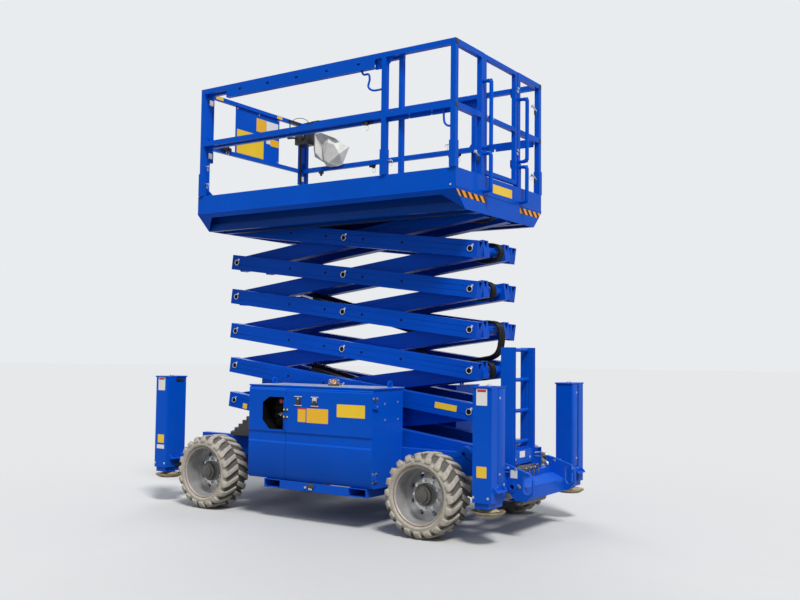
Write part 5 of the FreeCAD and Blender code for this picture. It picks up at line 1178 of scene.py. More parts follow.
def add_box_fittings(side, door):
    """Paddle latches, hinges, seam catches, rivets and lid of one side box."""
    out = Vector((0, side, 0))
    face = side * BOX_FACE
    zinc = fittings(door, STEEL)
    black = fittings(door, BLACK)

    def plate(kit, x0, x1, z0, z1, deep, start=0.0):
        low, high = sorted((face + side * start, face + side * (start + deep)))
        kit.block(x0, x1, low, high, z0, z1)

    for x in (0.040, -0.137):
        plate(black, x - 0.027, x + 0.027, 0.966, 1.032, 0.004)
        plate(black, x - 0.020, x + 0.020, 0.972, 1.006, 0.006, 0.004)
        if x < 0:
            plate(zinc, x - 0.024, x + 0.024, 0.990, 1.030, 0.003, 0.006)
        plate(zinc, x - 0.040, x + 0.040, 1.031, 1.039, 0.006)
        plate(zinc, x - 0.040, x + 0.040, 0.958, 0.966, 0.006)
        spot = at(x, face + side * 0.004, 1.018)
        zinc.rod(spot, spot + out * 0.0055, 0.008)
        for dx in (-0.033, 0.033):
            for z in (0.962, 1.035):
                spot = at(x + dx, face + side * 0.006, z)
                zinc.rod(spot, spot + out * 0.003, 0.0035, 10)
    if side > 0:
        add_window_trim(face, out)
        hook = fittings("chassis", BLACK)
        hook.block(-0.130, -0.070, 0.860, 0.8675, 0.290, 0.326)
        hook.block(-0.142, -0.118, 0.8675, 0.8735, 0.300, 0.316)
        shine = fittings("chassis", STEEL)
        for x, z, size in ((-0.048, 0.295, 0.010), (-0.092, 0.286, 0.009), (-0.112, 0.284, 0.009)):
            shine.rod(at(x, 0.860, z), at(x, 0.872, z), size, 16)
    low, high = sorted((side * 0.847, side * 0.400))
    lid = fittings("chassis", LID, 0.0)
    lid.block(BOX_BACK + 0.004, BOX_NOSE - 0.004, low, high, 1.1232, 1.1246)
    heads = []
    for y, z in ((0.689, 0.997), (0.504, 1.006), (0.686, 0.869), (0.501, 0.867)):
        heads.append((at(BOX_BACK, side * y, z), (-1, 0, 0)))
        heads.append((at(BOX_NOSE, side * y, z), (1, 0, 0)))
    bolts("box_wall_bolts_" + door, "chassis", heads, radius=0.0065, height=0.005)
    hinge = []
    pins = fittings(door, DARK_STEEL)
    for z in (0.42, 1.010):
        pins.rod(at(BOX_BACK - 0.0095, side * 0.828, z - 0.034),
                 at(BOX_BACK - 0.0095, side * 0.828, z + 0.036), 0.0062, 16)
        for dz in (-0.032, 0.032):
            hinge.append((at(BOX_BACK - 0.002, side * 0.846, z + dz), (-1, 0, 0)))
    bolts("box_hinge_bolts_" + door, door, hinge, radius=0.0072, height=0.0055)
    fixed = []
    for z in (0.42, 1.010):
        for dz in (-0.032, 0.032):
            fixed.append((at(BOX_BACK - 0.002, side * 0.800, z + dz), (-1, 0, 0)))
    bolts("box_hinge_bolts_fixed_" + door, "chassis", fixed, radius=0.0072, height=0.0055)


def add_window_trim(face, out):
    """The folded strip beside the window and its two sprung catches."""
    shell = fittings("chassis", BLUE)
    outline = [at(x, face, z) for x, z in ((0.168, 0.745), (0.199, 0.745), (0.199, 1.000),
                                           (0.194, 1.020), (0.183, 1.034), (0.168, 1.040))]
    shell.prism(outline, out * 0.002)
    lip = [at(x, face, z) for x, z in ((0.192, 0.745), (0.199, 0.745), (0.199, 1.000),
                                       (0.192, 1.016))]
    shell.prism([p + out * 0.002 for p in lip], out * 0.003)
    catch = fittings("chassis", CHROME)
    knob = fittings("chassis", BLACK)
    for z in (0.921, 0.860):
        knob.block(0.150, 0.196, face + 0.0018, face + 0.0045, z - 0.013, z + 0.013)
        for x in (0.191, 0.173, 0.154):
            spot = at(x, face + 0.0045, z + (0.002 if x < 0.16 else 0.0))
            lobe = knob if x == 0.173 else catch
            lobe.turned(spot, out, [(0.0085, 0.0), (0.0085, 0.002), (0.0060, 0.0042),
                                    (0.0, 0.0048)], 18)
        knob.rod(at(0.194, face + 0.0062, z - 0.006), at(0.152, face + 0.0062, z - 0.006),
                 0.0028, 12)


def add_beacon():
    """A clear dome over an amber lens, on a black foot."""
    foot = at(-0.121, 0.600, 1.1246)
    up = Vector((0, 0, 1))
    base = Kit("beacon_foot", "chassis", BLACK)
    base.turned(foot, up, [(0.049, 0.0), (0.049, 0.008), (0.046, 0.0105), (0.030, 0.0110)], 48)
    base.done(0)
    core = Kit("beacon_lens", "chassis", AMBER)
    core.turned(foot, up, [(0.028, 0.0112), (0.028, 0.018), (0.025, 0.020), (0.025, 0.040),
                           (0.020, 0.047), (0.008, 0.050), (0.0, 0.0505)], 40)
    core.done(0)
    dome = Kit("beacon_dome", "chassis", CLEAR)
    outside = [(0.0455, 0.0112), (0.0465, 0.016), (0.0465, 0.040), (0.043, 0.050),
               (0.034, 0.0565), (0.018, 0.0595), (0.0, 0.060)]
    inside = [(max(0.0, r - 0.0022), h - 0.0020) for r, h in reversed(outside[1:])]
    dome.turned(foot, up, outside + inside + [(0.0433, 0.0112)], 48)
    dome.done(0)
    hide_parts("beacon")


def add_ground_controls():
    """Stop button, key switch, toggles and gauge behind the window."""
    face = 0.778
    out = Vector((0, 1, 0))
    red = fittings("chassis", RED)
    white = fittings("chassis", GREY, 0.0)
    dark = fittings("chassis", PAINTED_SHADE_AND_BLACK_PARTS)
    zinc = fittings("chassis", STEEL)
    base = at(0.283, face, 0.988)
    dark.turned(base, out, [(0.030, 0.0), (0.030, 0.003), (0.012, 0.004)], 28)
    red.turned(base + out * 0.004, out, [(0.011, 0.0), (0.011, 0.012), (0.021, 0.016),
                                         (0.022, 0.024), (0.015, 0.030), (0.0, 0.032)], 28)
    for x, z in ((0.268, 0.925), (0.268, 0.905), (0.262, 0.885), (0.300, 0.925), (0.300, 0.885)):
        white.block(x - 0.013, x + 0.013, face, face + 0.0015, z - 0.005, z + 0.005)
    for x, z in ((0.243, 0.868), (0.275, 0.868), (0.307, 0.868)):
        spot = at(x, face, z)
        zinc.rod(spot, spot + out * 0.006, 0.009, 18)
        zinc.rod(spot + out * 0.006, spot + out * 0.024 + Vector((0, 0, 0.010)), 0.0035, 12,
                 0.0045)
    for x, z in ((0.345, 0.93), (0.345, 0.865)):
        spot = at(x, face, z)
        dark.turned(spot, out, [(0.024, 0.0), (0.024, 0.010), (0.020, 0.014)], 28)
    for x, z in ((0.245, 0.815), (0.285, 0.815), (0.325, 0.815)):
        dark.block(x - 0.014, x + 0.014, face, face + 0.010, z - 0.010, z + 0.010)


# Columns, beams and ladder


def add_column_fittings():
    """Cap screws, guide pads, cover strips with a near-black groove line of painted shade, and
    cable fittings on the four stabiliser columns.
    """
    heads = []
    pads = fittings("chassis", BLACK)
    for x0, x1, way in ((-1.750, -1.605, -1), (1.652, 1.797, 1)):
        back = x0 if way < 0 else x1
        inner = x1 if way < 0 else x0
        for side in (1, -1):
            low, high = sorted((back, back + way * 0.004))
            y0, y1 = sorted((side * 0.618, side * 0.7285))
            strip = fittings("chassis", BLUE)
            strip.block(low, high, y0, y1, 0.458, 1.160)
            # a thin near-black strip beside the cover strip is painted shade in the groove
            y0, y1 = sorted((side * 0.7285, side * 0.7345))
            fittings("chassis", PAINTED_SHADE_AND_BLACK_PARTS, 0.0).block(low, back + way * 0.0006 if way > 0 else back,
                                                 y0, y1, 0.458, 1.160)
            for y, z in ((0.700, 1.083), (0.700, 0.524), (0.625, 0.443), (0.737, 0.434)):
                step = way * 0.004 if z > 0.458 else 0.0
                heads.append((at(back + step, side * y, z), (way, 0, 0)))
            for x in (x0 + 0.015, x1 - 0.009):
                heads.append((at(x, side * COLUMN_FACE, 0.361), (0, side, 0)))
            for z in (0.345, 1.128):
                low, high = sorted((side * 0.640, side * 0.810))
                pads.block(min(inner, inner - way * 0.004), max(inner, inner - way * 0.004),
                           low, high, z - 0.014, z + 0.014)
            top = at((x0 + x1) / 2, side * 0.725, 1.168)
            zinc = fittings("chassis", STEEL)
            zinc.turned(top, (0, 0, 1), [(0.020, 0.0), (0.020, 0.006), (0.011, 0.010),
                                         (0.011, 0.016), (0.0, 0.017)], 24)
    bolts("column_bolts", "chassis", heads, radius=0.0068, height=0.005)


def add_lug_fittings():
    """Rim of the oval slot, label bolts and clamp bolts on the tie-down plates."""
    heads = []
    for side in (1, -1):
        face = side * 0.400
        for x, z in ((-1.755, 0.409), (-1.766, 0.398), (-1.668, 0.535), (-1.735, 0.530)):
            heads.append((at(x, face, z), (0, side, 0)))
        heads.append((at(-1.700, side * 0.370, 0.530), (0, -side, 0)))
        weld = fittings("chassis", BLUE)
        weld.washer(at(-1.702, side * 0.405, 0.394), (0, side, 0), 0.026, 0.0182, 0.002)
    bolts("lug_bolts", "chassis", heads, radius=0.0085, height=0.006)
    knob = fittings("chassis", STEEL)
    knob.turned(at(-1.640, -0.370, 0.500), (0, 1, 0),
                [(0.010, 0.0), (0.010, 0.010), (0.019, 0.014), (0.021, 0.024), (0.014, 0.032),
                 (0.0, 0.034)], 24)
    black = fittings("chassis", BLACK)
    black.pipe([at(-1.640, -0.362, 0.486), at(-1.642, -0.352, 0.455), at(-1.636, -0.345, 0.425)],
               0.011)
    block = fittings("chassis", GLOSS_BLACK)
    block.block(-1.655, -1.610, -0.120, 0.150, 0.478, 0.522)
    block.rod(at(-1.640, -0.180, 0.500), at(-1.640, 0.210, 0.500), 0.017)
    for y in (-0.08, 0.0, 0.08):
        knob.rod(at(-1.655, y, 0.498), at(-1.672, y, 0.498), 0.009, 6)
        black.pipe([at(-1.672, y, 0.498), at(-1.690, y, 0.494), at(-1.700, y + 0.012, 0.470),
                    at(-1.690, y + 0.02, 0.444)], 0.0055)
    heads = []
    for y, z in ((0.145, 0.572), (-0.114, 0.572)):
        heads.append((at(LADDER_BACK, y, z), (-1, 0, 0)))
    bolts("step_box_bolts", "chassis", heads, radius=0.0085, height=0.006)
    under = fittings("chassis", DARK_STEEL)
    under.rod(at(-1.700, -0.16, 0.258), at(-1.700, 0.26, 0.258), 0.026)
    under.rod(at(-1.700, 0.26, 0.258), at(-1.700, 0.31, 0.258), 0.016)
    under.block(-1.722, -1.678, -0.15, -0.10, 0.255, 0.2862)
    under.block(-1.722, -1.678, 0.20, 0.25, 0.255, 0.2862)


def add_ladder_fittings():
    """Grip ribs on the step box, a steel wire beside it and two blue loops on a block."""
    ribs = fittings("chassis", BLUE)
    for index in range(9):
        y = -0.132 + index * 0.033
        ribs.prism([at(-1.588, y - 0.005, 0.6405), at(-1.512, y - 0.005, 0.6665),
                    at(-1.512, y - 0.005, 0.6705), at(-1.588, y - 0.005, 0.6445)],
                   (0, 0.010, 0))
    wire = fittings("chassis", STEEL, 0.0)
    wire.pipe([at(-1.598, -0.190, 0.600), at(-1.640, -0.205, 0.606), at(-1.695, -0.210, 0.604),
               at(-1.700, -0.200, 0.588), at(-1.655, -0.192, 0.575), at(-1.600, -0.186, 0.578)],
              0.0028, 8)
    loop = fittings("chassis", BLUE)
    for z in (0.530, 0.505):
        loop.pipe([at(-1.640, 0.445, z), at(-1.672, 0.440, z + 0.004),
                   at(-1.688, 0.420, z + 0.002), at(-1.672, 0.402, z - 0.004),
                   at(-1.640, 0.401, z - 0.006)], 0.006)
    loop.block(-1.660, -1.625, 0.400, 0.450, 0.475, 0.500)


def add_feet():
    """A dished pad under each stabiliser leg."""
    for name, x, side in (("front_left", 1.7245, 1), ("front_right", 1.7245, -1),
                          ("rear_left", -1.6775, 1), ("rear_right", -1.6775, -1)):
        kit = Kit("foot_joint_" + name, "leg_" + name, BRASS)
        kit.turned(at(x, side * 0.7255, 0.2562), (0, 0, 1),
                   [(0.085, 0.0), (0.062, 0.010), (0.045, 0.022), (0.039, 0.040)], 36)
        kit.done(0)


# Platform


def add_rail_fittings():
    """Tube caps, handles, latches, gussets and hinge bolts on the guard rails."""
    blue = fittings("platform", BLUE)
    black = fittings("platform", BLACK)
    zinc = fittings("platform", STEEL)
    rear = GUARD_BACK
    for side in (1, -1):
        for z in (3.8235, 3.3285):
            low, high = sorted((side * 0.7185, side * 0.7565))
            black.block(rear - 0.003, rear, low, high, z - 0.019, z + 0.019)
            black.block(1.378, 1.381, low, high, z - 0.019, z + 0.019)
        if side > 0:
            blue.pipe([at(-0.468, 0.737, 3.732), at(-0.492, 0.737, 3.700),
                       at(-0.540, 0.737, 3.694), at(-0.552, 0.737, 3.650),
                       at(-0.540, 0.737, 3.590), at(-0.590, 0.737, 3.553),
                       at(-0.6885, 0.737, 3.550)], 0.009)
            blue.pipe([at(-1.270, 0.737, 3.308), at(-1.270, 0.737, 3.240),
                       at(-1.278, 0.737, 3.196), at(-1.305, 0.737, 3.170),
                       at(-1.342, 0.737, 3.166)], 0.009)
        for z, run in ((3.7925, 1), (3.351, 1)):
            edge = -0.6875
            blue.prism([at(edge, side * 0.7345, z + 0.001), at(edge + 0.04, side * 0.7345,
                                                              z + 0.001),
                        at(edge, side * 0.7345, z + (0.046 if z < 3.5 else -0.046))],
                       (0, side * 0.005, 0))
        low, high = sorted((side * 0.7155, side * 0.7345))
        blue.block(-0.6875, -0.606, low, high, 3.725, 3.790)
        strip_low, strip_high = sorted((side * 0.716, side * 0.722))
        for x0, x1 in ((-1.330, -1.155), (-1.138, -0.945), (-0.928, -0.735)):
            blue.block(x0, x1, strip_low, strip_high, 3.276, 3.3065)
        for x0, x1, z in ((-0.575, -0.480, 3.306), (0.42, 0.50, 3.306)):
            if side > 0 and x0 > 0:
                continue
            black.block(x0, x1, strip_low, strip_high + 0.0, z - 0.028, z)
            spot = at((x0 + x1) / 2, side * 0.722, z - 0.020)
            black.rod(spot, spot + Vector((0, side * 0.026, 0)), 0.017, 20)
            zinc.pipe([spot + Vector((0.01, side * 0.02, -0.012)),
                       spot + Vector((0.012, side * 0.02, -0.045)),
                       spot + Vector((-0.006, side * 0.02, -0.062)),
                       spot + Vector((-0.022, side * 0.02, -0.044)),
                       spot + Vector((-0.018, side * 0.02, -0.012))], 0.0018, 8)
        for x, z in ((1.300, 3.120), (1.300, 2.955), (-0.735, 2.955), (-1.338, 3.020)):
            way = -1 if x > 0 or x < -1 else -1
            if x < -1:
                way = 1
            start = at(x + (0.034 if x > 0 else 0.0), side * 0.738, z)
            end = start + Vector((way * 0.050, 0, 0.0))
            zinc.rod(start, end, 0.005, 12)
            zinc.pipe([end, end + Vector((way * 0.006, 0, -0.020)),
                       end + Vector((-way * 0.006, 0, -0.045)),
                       end + Vector((-way * 0.020, 0, -0.030)),
                       end + Vector((-way * 0.014, 0, -0.004))], 0.002, 8)
        spot = at(-1.345, side * 0.752, 2.705)
        zinc.rod(spot, spot + Vector((0, side * 0.005, 0)), 0.008, 16)
        for x0, x1 in ((DECK_END, 1.399),):
            low, high = sorted((side * 0.752, side * 0.7545))
            blue.block(x0, x1, low, high, 2.672, 2.680)
    blue.block(DECK_END - 0.0025, DECK_END, -0.752, 0.752, 2.684, 2.692)


def add_gate_fittings():
    """Hinge bolts, latch and stop of the entry gate."""
    heads = []
    for y, z in ((-0.290, 3.128), (-0.302, 3.160), (-0.290, 3.672), (-0.302, 3.702)):
        heads.append((at(GUARD_BACK, y, z), (-1, 0, 0)))
    bolts("gate_hinge_bolts", "platform", heads, radius=0.0095, height=0.007)
    grip = fittings("platform", BLUE)
    for y in (0.3225, -0.3225):
        for low, high in ((2.711, 3.017), (3.063, 3.608)):
            grip.pipe([at(-1.4300, y, low + 0.001), at(-1.4470, y, low + 0.004),
                       at(-1.4585, y, low + 0.016), at(-1.4615, y, low + 0.034),
                       at(-1.4615, y, (low + high) / 2), at(-1.4615, y, high - 0.034),
                       at(-1.4585, y, high - 0.016), at(-1.4470, y, high - 0.004),
                       at(-1.4300, y, high - 0.001)], 0.0165, 18, 5)
            for z in (low, high):
                grip.rod(at(-1.4305, y, z), at(-1.3865 if z > 2.8 else -1.3925, y, z), 0.0150, 18)
    black = fittings("entry_gate", BLACK)
    black.block(-1.3865, -1.3825, 0.166, 0.216, 3.322, 3.352)
    heads = [(at(-1.3825, 0.240, 3.340), (-1, 0, 0)), (at(-1.3825, 0.140, 3.340), (-1, 0, 0))]
    bolts("gate_latch_bolts", "entry_gate", heads, radius=0.006, height=0.004)
    zinc = fittings("platform", STEEL)
    black = fittings("platform", BLACK)
    for y, z in ((0.372, 3.000), (-0.655, 3.605), (-0.655, 2.985)):
        spot = at(GUARD_BACK + 0.014, y, z)
        zinc.rod(spot + Vector((0, -0.030, -0.012)), spot + Vector((0, 0.046, 0.018)), 0.008, 14)
        zinc.turned(spot + Vector((0, 0.040, 0.016)), (0, 0.93, 0.36),
                    [(0.014, 0.0), (0.016, 0.006), (0.010, 0.014), (0.0, 0.016)], 20)
        black.rod(spot + Vector((0, -0.004, -0.014)), spot + Vector((0, -0.012, -0.052)),
                  0.010, 14)


def add_extension_fittings():
    """Latch plates, clamps, caps and the cable of the roll-out deck's rails."""
    zinc = fittings("extension", STEEL)
    black = fittings("extension", BLACK)
    blue = fittings("extension", BLUE)
    back = 1.340
    for side in (1, -1):
        for y0, y1 in ((0.628, 0.6435), (0.651, 0.668)):
            low, high = sorted((side * y0, side * y1))
            blue.block(back, back + 0.030, low, high, 3.170, 3.786)
        low, high = sorted((side * 0.630, side * 0.666))
        blue.block(back + 0.012, back + 0.030, low, high, 3.172, 3.784)
        for z in (3.735, 3.232):
            low, high = sorted((side * 0.644, side * 0.692))
            zinc.block(back - 0.003, back, low, high, z - 0.026, z + 0.026)
    black.block(back - 0.026, back, 0.412, 0.528, 3.318, 3.350)
    black.block(back - 0.022, back, 0.440, 0.500, 3.350, 3.378)
    black.rod(at(back - 0.026, 0.447, 3.334), at(back - 0.042, 0.447, 3.334), 0.015, 20)
    zinc.block(back - 0.006, back, 0.532, 0.588, 3.330, 3.352)
    zinc.pipe([at(back - 0.020, 0.470, 3.318), at(back - 0.022, 0.478, 3.290),
               at(back - 0.022, 0.460, 3.276), at(back - 0.020, 0.446, 3.296),
               at(back - 0.020, 0.448, 3.318)], 0.0022, 8)
    for x in (-0.480, 0.30, 1.10):
        black.block(x - 0.018, x + 0.018, -0.711, -0.668, 3.270, 3.293)
        spot = at(x, -0.690, 3.272)
        black.rod(spot, spot + Vector((0, 0, -0.024)), 0.013, 18)
    for side in (1, -1):
        for z in (3.807, 3.312):
            low, high = sorted((side * 0.672, side * 0.704))
            black.block(-0.863, -0.860, low, high, z - 0.016, z + 0.016)
        for z in (3.331, 2.8395):
            corner = at(back, side * 0.6875, z)
            blue.prism([corner, corner + Vector((-0.085, 0, 0)), corner + Vector((0, 0, 0.075))],
                       (0, side * 0.006, 0))
    heads = []
    for y in (-0.290, -0.005, 0.300):
        for z in (3.345, 3.774):
            heads.append((at(PANEL_BACK, y, z), (-1, 0, 0)))
    bolts("sign_panel_bolts", "extension", heads, radius=0.0055, height=0.004)


def add_console_fittings():
    """Joystick, stop button, wire guard and lead of the operator's control box."""
    body = "extension"
    black = fittings(body, BLACK)
    red = fittings(body, RED)
    zinc = fittings(body, STEEL)
    top = 3.720
    spot = at(1.215, -0.600, top)
    black.turned(spot, (0, 0, 1), [(0.030, 0.0), (0.026, 0.012), (0.018, 0.024), (0.009, 0.034),
                                   (0.009, 0.058), (0.015, 0.066), (0.017, 0.086),
                                   (0.0, 0.092)], 28)
    stop = at(1.296, -0.600, top)
    fittings(body, YELLOW).turned(stop, (0, 0, 1), [(0.024, 0.0), (0.024, 0.004),
                                                    (0.012, 0.005)], 24)
    red.turned(stop + Vector((0, 0, 0.005)), (0, 0, 1),
               [(0.010, 0.0), (0.010, 0.010), (0.018, 0.014), (0.018, 0.020), (0.0, 0.026)], 24)
    for x in (1.245, 1.262):
        zinc.rod(at(x, -0.640, top), at(x, -0.640, top + 0.018), 0.003, 10)
    lever = at(1.320, -0.530, 3.640)
    black.pipe([lever, at(1.334, -0.505, 3.640), at(1.346, -0.470, 3.632),
                at(1.350, -0.440, 3.625)], 0.011, 16)
    black.turned(at(1.236, -0.5285, 3.640), (0, 1, 0),
                 [(0.034, 0.0), (0.034, 0.008), (0.027, 0.016), (0.012, 0.020)], 32)
    black.block(1.316, 1.3398, -0.600, -0.438, 3.786, 3.816)
    black.rod(at(1.330, -0.446, 3.720), at(1.330, -0.446, 3.800), 0.006, 14)
    black.pipe([at(1.330, -0.500, 3.816), at(1.322, -0.502, 3.832), at(1.290, -0.512, 3.841),
                at(1.240, -0.540, 3.842), at(1.212, -0.585, 3.822), at(1.205, -0.600, 3.790),
                at(1.205, -0.606, 3.722)], 0.0035, 10)
    black.block(1.130, 1.230, -0.704, -0.672, 3.8262, 3.838)


def add_console_lead():
    """The lead that hangs from the control box to the floor beside the front rail."""
    route = [at(*p) for p in (
        (1.300, -0.590, 3.567), (1.300, -0.590, 3.520), (1.312, -0.600, 3.450),
        (1.318, -0.612, 3.360), (1.322, -0.622, 3.250), (1.322, -0.630, 3.100),
        (1.318, -0.632, 2.950), (1.310, -0.632, 2.830), (1.306, -0.632, 2.757))]
    place_hose("control_lead", "extension", route, 0.020)


COVER_POINTS = {
    "a": (1.120, -0.596, 3.664), "h2": (1.156, -0.630, 3.612), "h": (1.163, -0.636, 3.528),
    "g": (1.154, -0.644, 3.446), "l": (1.036, -0.660, 3.374), "m1": (1.068, -0.650, 3.586),
    "m2": (0.984, -0.592, 3.386), "b": (0.955, -0.630, 3.650), "c": (0.832, -0.640, 3.559),
    "d": (0.861, -0.588, 3.532), "e": (0.9235, -0.588, 3.347), "f": (0.990, -0.640, 3.331),
    "r1": (0.708, -0.660, 3.508), "r2": (0.790, -0.650, 3.326), "q": (0.786, -0.592, 3.430),
    "rim1": (0.845, -0.634, 3.3125), "rim2": (0.925, -0.632, 3.3125),
    "fl": (1.116, -0.594, 3.678), "t1": (1.023, -0.588, 3.673), "tr": (0.840, -0.600, 3.592),
    "n": (0.936, -0.588, 3.560), "p": (1.110, -0.598, 3.480),
}
COVER_FACETS = (
    ("a", "h2", "h", "p"), ("h", "g", "p"), ("p", "g", "l"), ("a", "p", "l"),
    ("a", "l", "m1"), ("m1", "l", "m2"), ("m2", "l", "f"), ("m2", "f", "e"),
    ("a", "m1", "n", "b"), ("m1", "m2", "n"), ("b", "n", "d", "c"), ("m2", "e", "n"),
    ("n", "e", "d"), ("d", "e", "q"), ("c", "d", "q"), ("c", "q", "r1"), ("q", "r2", "r1"),
    ("q", "e", "r2"), ("a", "b", "t1", "fl"), ("b", "c", "tr", "t1"),
    ("e", "f", "rim2"), ("e", "rim2", "rim1"), ("e", "rim1", "r2"),
)
COVER_EDGE = ("fl", "t1", "tr", "c", "r1", "r2", "rim1", "rim2", "f", "l", "g", "h", "h2", "a")


def add_console_cover():
    """The stiff pale cover beside the control box, creased into flat facets."""
    work = bmesh.new()
    spots = {key: work.verts.new(at(*p)) for key, p in COVER_POINTS.items()}
    for names in COVER_FACETS:
        work.faces.new([spots[k] for k in names])
    back = []
    middle = at(0.95, 0, 3.50)
    for key in COVER_EDGE:
        point = spots[key].co
        back.append(work.verts.new((point.x + (middle.x - point.x) * 0.05, -0.664,
                                    point.z + (middle.z - point.z) * 0.05)))
    count = len(COVER_EDGE)
    for index in range(count):
        after = (index + 1) % count
        work.faces.new((spots[COVER_EDGE[index]], spots[COVER_EDGE[after]], back[after],
                        back[index]))
    bmesh.ops.triangulate(work, faces=work.faces)
    bmesh.ops.subdivide_edges(work, edges=work.edges, cuts=5, use_grid_fill=True)
    bmesh.ops.recalc_face_normals(work, faces=work.faces)
    for vertex in work.verts:
        broad = noise.noise(vertex.co * 14.0) * 0.0022
        fine = noise.noise(vertex.co * 47.0 + Vector((3, 1, 7))) * 0.0008
        vertex.co += Vector((0, broad + fine, 0))
        vertex.co.y = min(max(vertex.co.y, -0.6665), -0.5845)
    mesh = bpy.data.meshes.new("control box cover")
    work.to_mesh(mesh)
    work.free()
    mark_creases(mesh, 0.16)
    mesh.materials.append(CLOTH)
    piece = show("control_box_cover", mesh)
    wall = piece.modifiers.new("cloth", "SOLIDIFY")
    wall.thickness = 0.0016
    wall.offset = -1.0
    settle(piece)
    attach(piece, "extension")
    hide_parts("console_cover")


def add_deck_underside():
    """Two thin dark steel wear strips along the underside of the deck."""
    dark = fittings("platform", DARK_STEEL)
    for side in (1, -1):
        low, high = sorted((side * 0.352, side * 0.408))
        dark.block(-1.20, 1.20, low, high, 2.5270, 2.5290)


# Arms


def place_hose(name, body, route, size):
    """A smooth rubber hose along a route, riding on one body."""
    data = bpy.data.curves.new("hose", "CURVE")
    data.dimensions = "3D"
    spline = data.splines.new("NURBS")
    spline.points.add(len(route) - 1)
    for knot, place in zip(spline.points, route):
        knot.co = (place.x, place.y, place.z, 1.0)
        knot.radius = 0.01
    spline.order_u = 3
    spline.use_endpoint_u = True
    data.bevel_depth = size / 2 / 0.01
    data.bevel_resolution = 5
    data.use_fill_caps = True
    data.materials.append(RUBBER)
    piece = bpy.data.objects.new(name, data)
    bpy.context.scene.collection.objects.link(piece)
    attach(piece, body)
    line_length(piece)


def add_hose_runs():
    """Hoses that loop round the cross tubes, side by side so that lowered stages pass."""
    for stage in (6, 5, 4, 2):
        spread = (-0.030, -0.056, -0.082) if stage == 5 else (0.095, 0.069, 0.043)
        for number, y in enumerate(spread):
            x, z = arm_point(stage, 0.0, -1)
            side = 0.1245 if y > 0 else -0.1245
            points = [
                (0.235 - number * 0.024, side, 0.020), (0.170, (side + y) / 2, 0.050),
                (0.085, y, 0.066), (0.010, y, 0.074), (-0.058, y, 0.056),
                (-0.082, y, 0.000), (-0.058, y, -0.056), (0.010, y, -0.074),
                (0.085, y, -0.074), (0.170, (y + side) / 2, -0.062),
                (0.235 + number * 0.024, side, -0.040)]
            route = [at(x + dx, across, z + dz) for dx, across, dz in points]
            place_hose("hose_%d_%d" % (stage, number), "inner_arms_%d" % stage, route, 0.022)
    x, z = arm_point(3, 0.0, -1)
    for number, y in enumerate((-0.004, -0.030, -0.056, -0.082)):
        drop = (0.0, 0.012, 0.004, 0.016)[number]
        points = [
            (0.240 - number * 0.024, -0.1245, 0.010), (0.180, (y - 0.1245) / 2, 0.050),
            (0.095, y, 0.074), (0.010, y, 0.080), (-0.064, y, 0.058), (-0.090, y, 0.000),
            (-0.092, y, -0.080), (-0.074, y, -0.170), (-0.020, y, -0.214 - drop * 0.5),
            (0.060, y, -0.226 - drop), (0.160, y, -0.246 - drop), (0.300, y, -0.262 - drop * 0.5),
            (0.480, y, -0.244), (0.640, (y - 0.1245) / 2, -0.210),
            (0.730 + number * 0.024, -0.1245, -0.160)]
        route = [at(x + dx, across, z + dz) for dx, across, dz in points]
        place_hose("hose_3_%d" % number, "inner_arms_3", route, 0.022)


def line_length(piece):
    """The length of a curve's own line, as it is drawn without its thickness."""
    depth = piece.data.bevel_depth
    piece.data.bevel_depth = 0.0
    graph = bpy.context.evaluated_depsgraph_get()
    graph.update()
    mesh = bpy.data.meshes.new_from_object(piece.evaluated_get(graph))
    total = sum((mesh.vertices[e.vertices[0]].co - mesh.vertices[e.vertices[1]].co).length
                for e in mesh.edges)
    piece.data.bevel_depth = depth
    bpy.data.meshes.remove(mesh)
    return total


def add_arm_trim():
    """Two rubber cables along the inner arms of each stage."""
    for stage in range(1, STAGES + 1):
        body = "inner_arms_%d" % stage
        black = fittings(body, RUBBER, 0.0)
        for y in (0.09, 0.105):
            points = []
            for share in (0.06, 0.2, 0.35, 0.5, 0.65, 0.8, 0.94):
                x, z = arm_point(stage, share, -1, 0.0)
                sag = 0.006 * math.sin(share * 40)
                points.append(at(x, y, z + 0.045 + sag))
            black.pipe(points, 0.006, 8, 4)


COLUMN_FACE = 0.843
LADDER_BACK = -1.600
DECK_END = -1.392
PANEL_BACK = 1.3565
GUARD_BACK = -1.386
SKIRT_TOP_HALF = 0.752
SKIRT_LOW_HALF = 0.604
SKIRT_TOP_Z = 2.670
SKIRT_LOW_Z = 2.529
BOX_BACK = -0.712
BOX_NOSE = 0.604

add_labels()
add_hazard_tape()
add_box_fittings(1, "engine_door")
add_box_fittings(-1, "service_door")
add_ground_controls()
add_beacon()
add_column_fittings()
add_lug_fittings()
add_ladder_fittings()
add_feet()
add_rail_fittings()
add_gate_fittings()
add_extension_fittings()
add_console_fittings()
add_console_lead()
add_console_cover()
add_deck_underside()
add_hose_runs()
finish_fittings()


# Camera, light and stage


def add_camera():
    """The camera fitted to the photograph."""
    data = bpy.data.cameras.new("camera")
    data.lens = 41.84
    data.sensor_width = 36.0
    data.clip_end = 200.0
    camera = bpy.data.objects.new("camera", data)
    bpy.context.scene.collection.objects.link(camera)
    azimuth = math.radians(214.057)
    pitch = math.radians(3.264)
    roll = math.radians(0.662)
    forward = Vector((-math.sin(azimuth) * math.cos(pitch), math.cos(azimuth) * math.cos(pitch),
                      math.sin(pitch)))
    right = forward.cross(Vector((0, 0, 1))).normalized()
    up = right.cross(forward)
    turned_right = right * math.cos(roll) + up * math.sin(roll)
    turned_up = up * math.cos(roll) - right * math.sin(roll)
    axes = Matrix((turned_right, turned_up, -forward)).transposed().to_4x4()
    camera.matrix_world = Matrix.Translation(at(-4.995, 6.827, 1.406)) @ axes
    bpy.context.scene.camera = camera


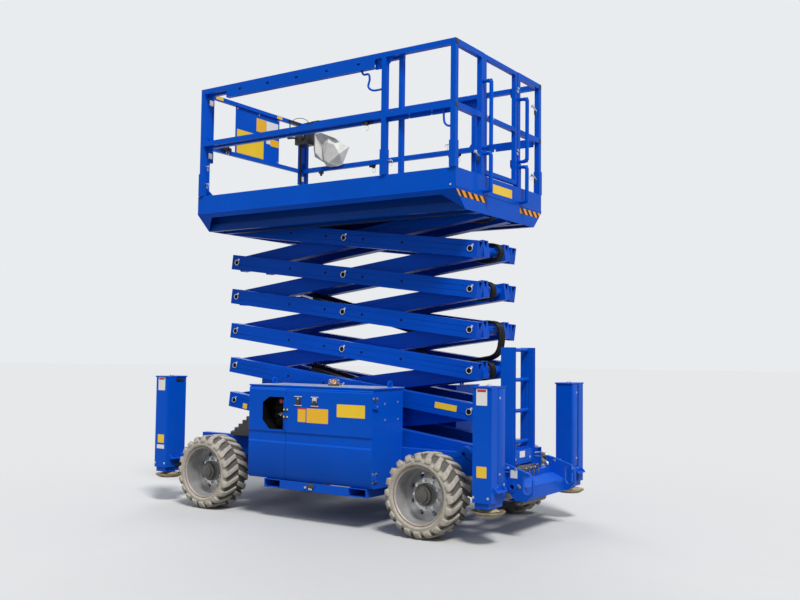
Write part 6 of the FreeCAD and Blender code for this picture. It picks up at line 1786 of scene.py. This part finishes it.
def add_sun(name, toward, strength, angle, colour=(1, 1, 1)):
    """A soft far lamp that shines from a direction."""
    data = bpy.data.lights.new(name, "SUN")
    data.energy = strength
    data.angle = math.radians(angle)
    data.color = colour
    lamp = bpy.data.objects.new(name, data)
    bpy.context.scene.collection.objects.link(lamp)
    lamp.matrix_world = Vector(toward).to_track_quat("Z", "Y").to_matrix().to_4x4()


def add_stage():
    """A wide pale floor with a plain finish."""
    made, web, shader, place = start_material("pale studio floor", specular=0.0)
    grain = web.noise(place, 6.0, 3.0, 0.5)
    pale = web.blend(grain, (0.565, 0.57, 0.575, 1.0), (0.58, 0.585, 0.59, 1.0))
    rays = web.add("ShaderNodeLightPath")
    seen = web.maths("MAXIMUM", rays.outputs["Is Camera Ray"], rays.outputs["Is Glossy Ray"])
    seen = web.maths("MAXIMUM", seen, rays.outputs["Is Transmission Ray"])
    web.put(shader, "Base_Color", web.blend(seen, (0.30, 0.30, 0.29, 1.0), pale))
    shader.inputs["Roughness"].default_value = 0.75
    mesh = bpy.data.meshes.new("floor")
    ring = [(90 * math.cos(2 * math.pi * k / 64), 90 * math.sin(2 * math.pi * k / 64), -0.0005)
            for k in range(64)]
    mesh.from_pydata(ring, [], [list(range(64))])
    mesh.materials.append(made)
    floor = show("floor", mesh)


def add_world():
    """A pale backdrop for the camera, and a softer sky that lights the object."""
    world = bpy.data.worlds.new("studio")
    bpy.context.scene.world = world
    world.use_nodes = True
    tree = world.node_tree
    tree.nodes.clear()
    web = Web(tree)
    rays = web.add("ShaderNodeLightPath")
    seen = web.maths("MAXIMUM", rays.outputs["Is Camera Ray"], rays.outputs["Is Glossy Ray"])
    seen = web.maths("MAXIMUM", seen, rays.outputs["Is Transmission Ray"])
    backdrop = web.add("ShaderNodeBackground")
    backdrop.inputs["Color"].default_value = (0.86, 0.88, 0.9, 1.0)
    backdrop.inputs["Strength"].default_value = 0.95
    soft = web.add("ShaderNodeBackground")
    soft.inputs["Color"].default_value = (0.9, 0.95, 1.0, 1.0)
    soft.inputs["Strength"].default_value = 0.55
    both = web.add("ShaderNodeMixShader")
    web.put(both, "i0", seen)
    tree.links.new(soft.outputs[0], both.inputs[1])
    tree.links.new(backdrop.outputs[0], both.inputs[2])
    end = web.add("ShaderNodeOutputWorld")
    tree.links.new(both.outputs[0], end.inputs[0])


add_camera()
add_stage()
add_world()
add_sun("key", (-0.48, 0.38, 0.80), 2.9, 14.0, (1.0, 0.98, 0.95))
add_sun("back", (0.5, -0.6, 0.6), 0.8, 30.0)
bpy.context.scene.view_settings.view_transform = "Standard"
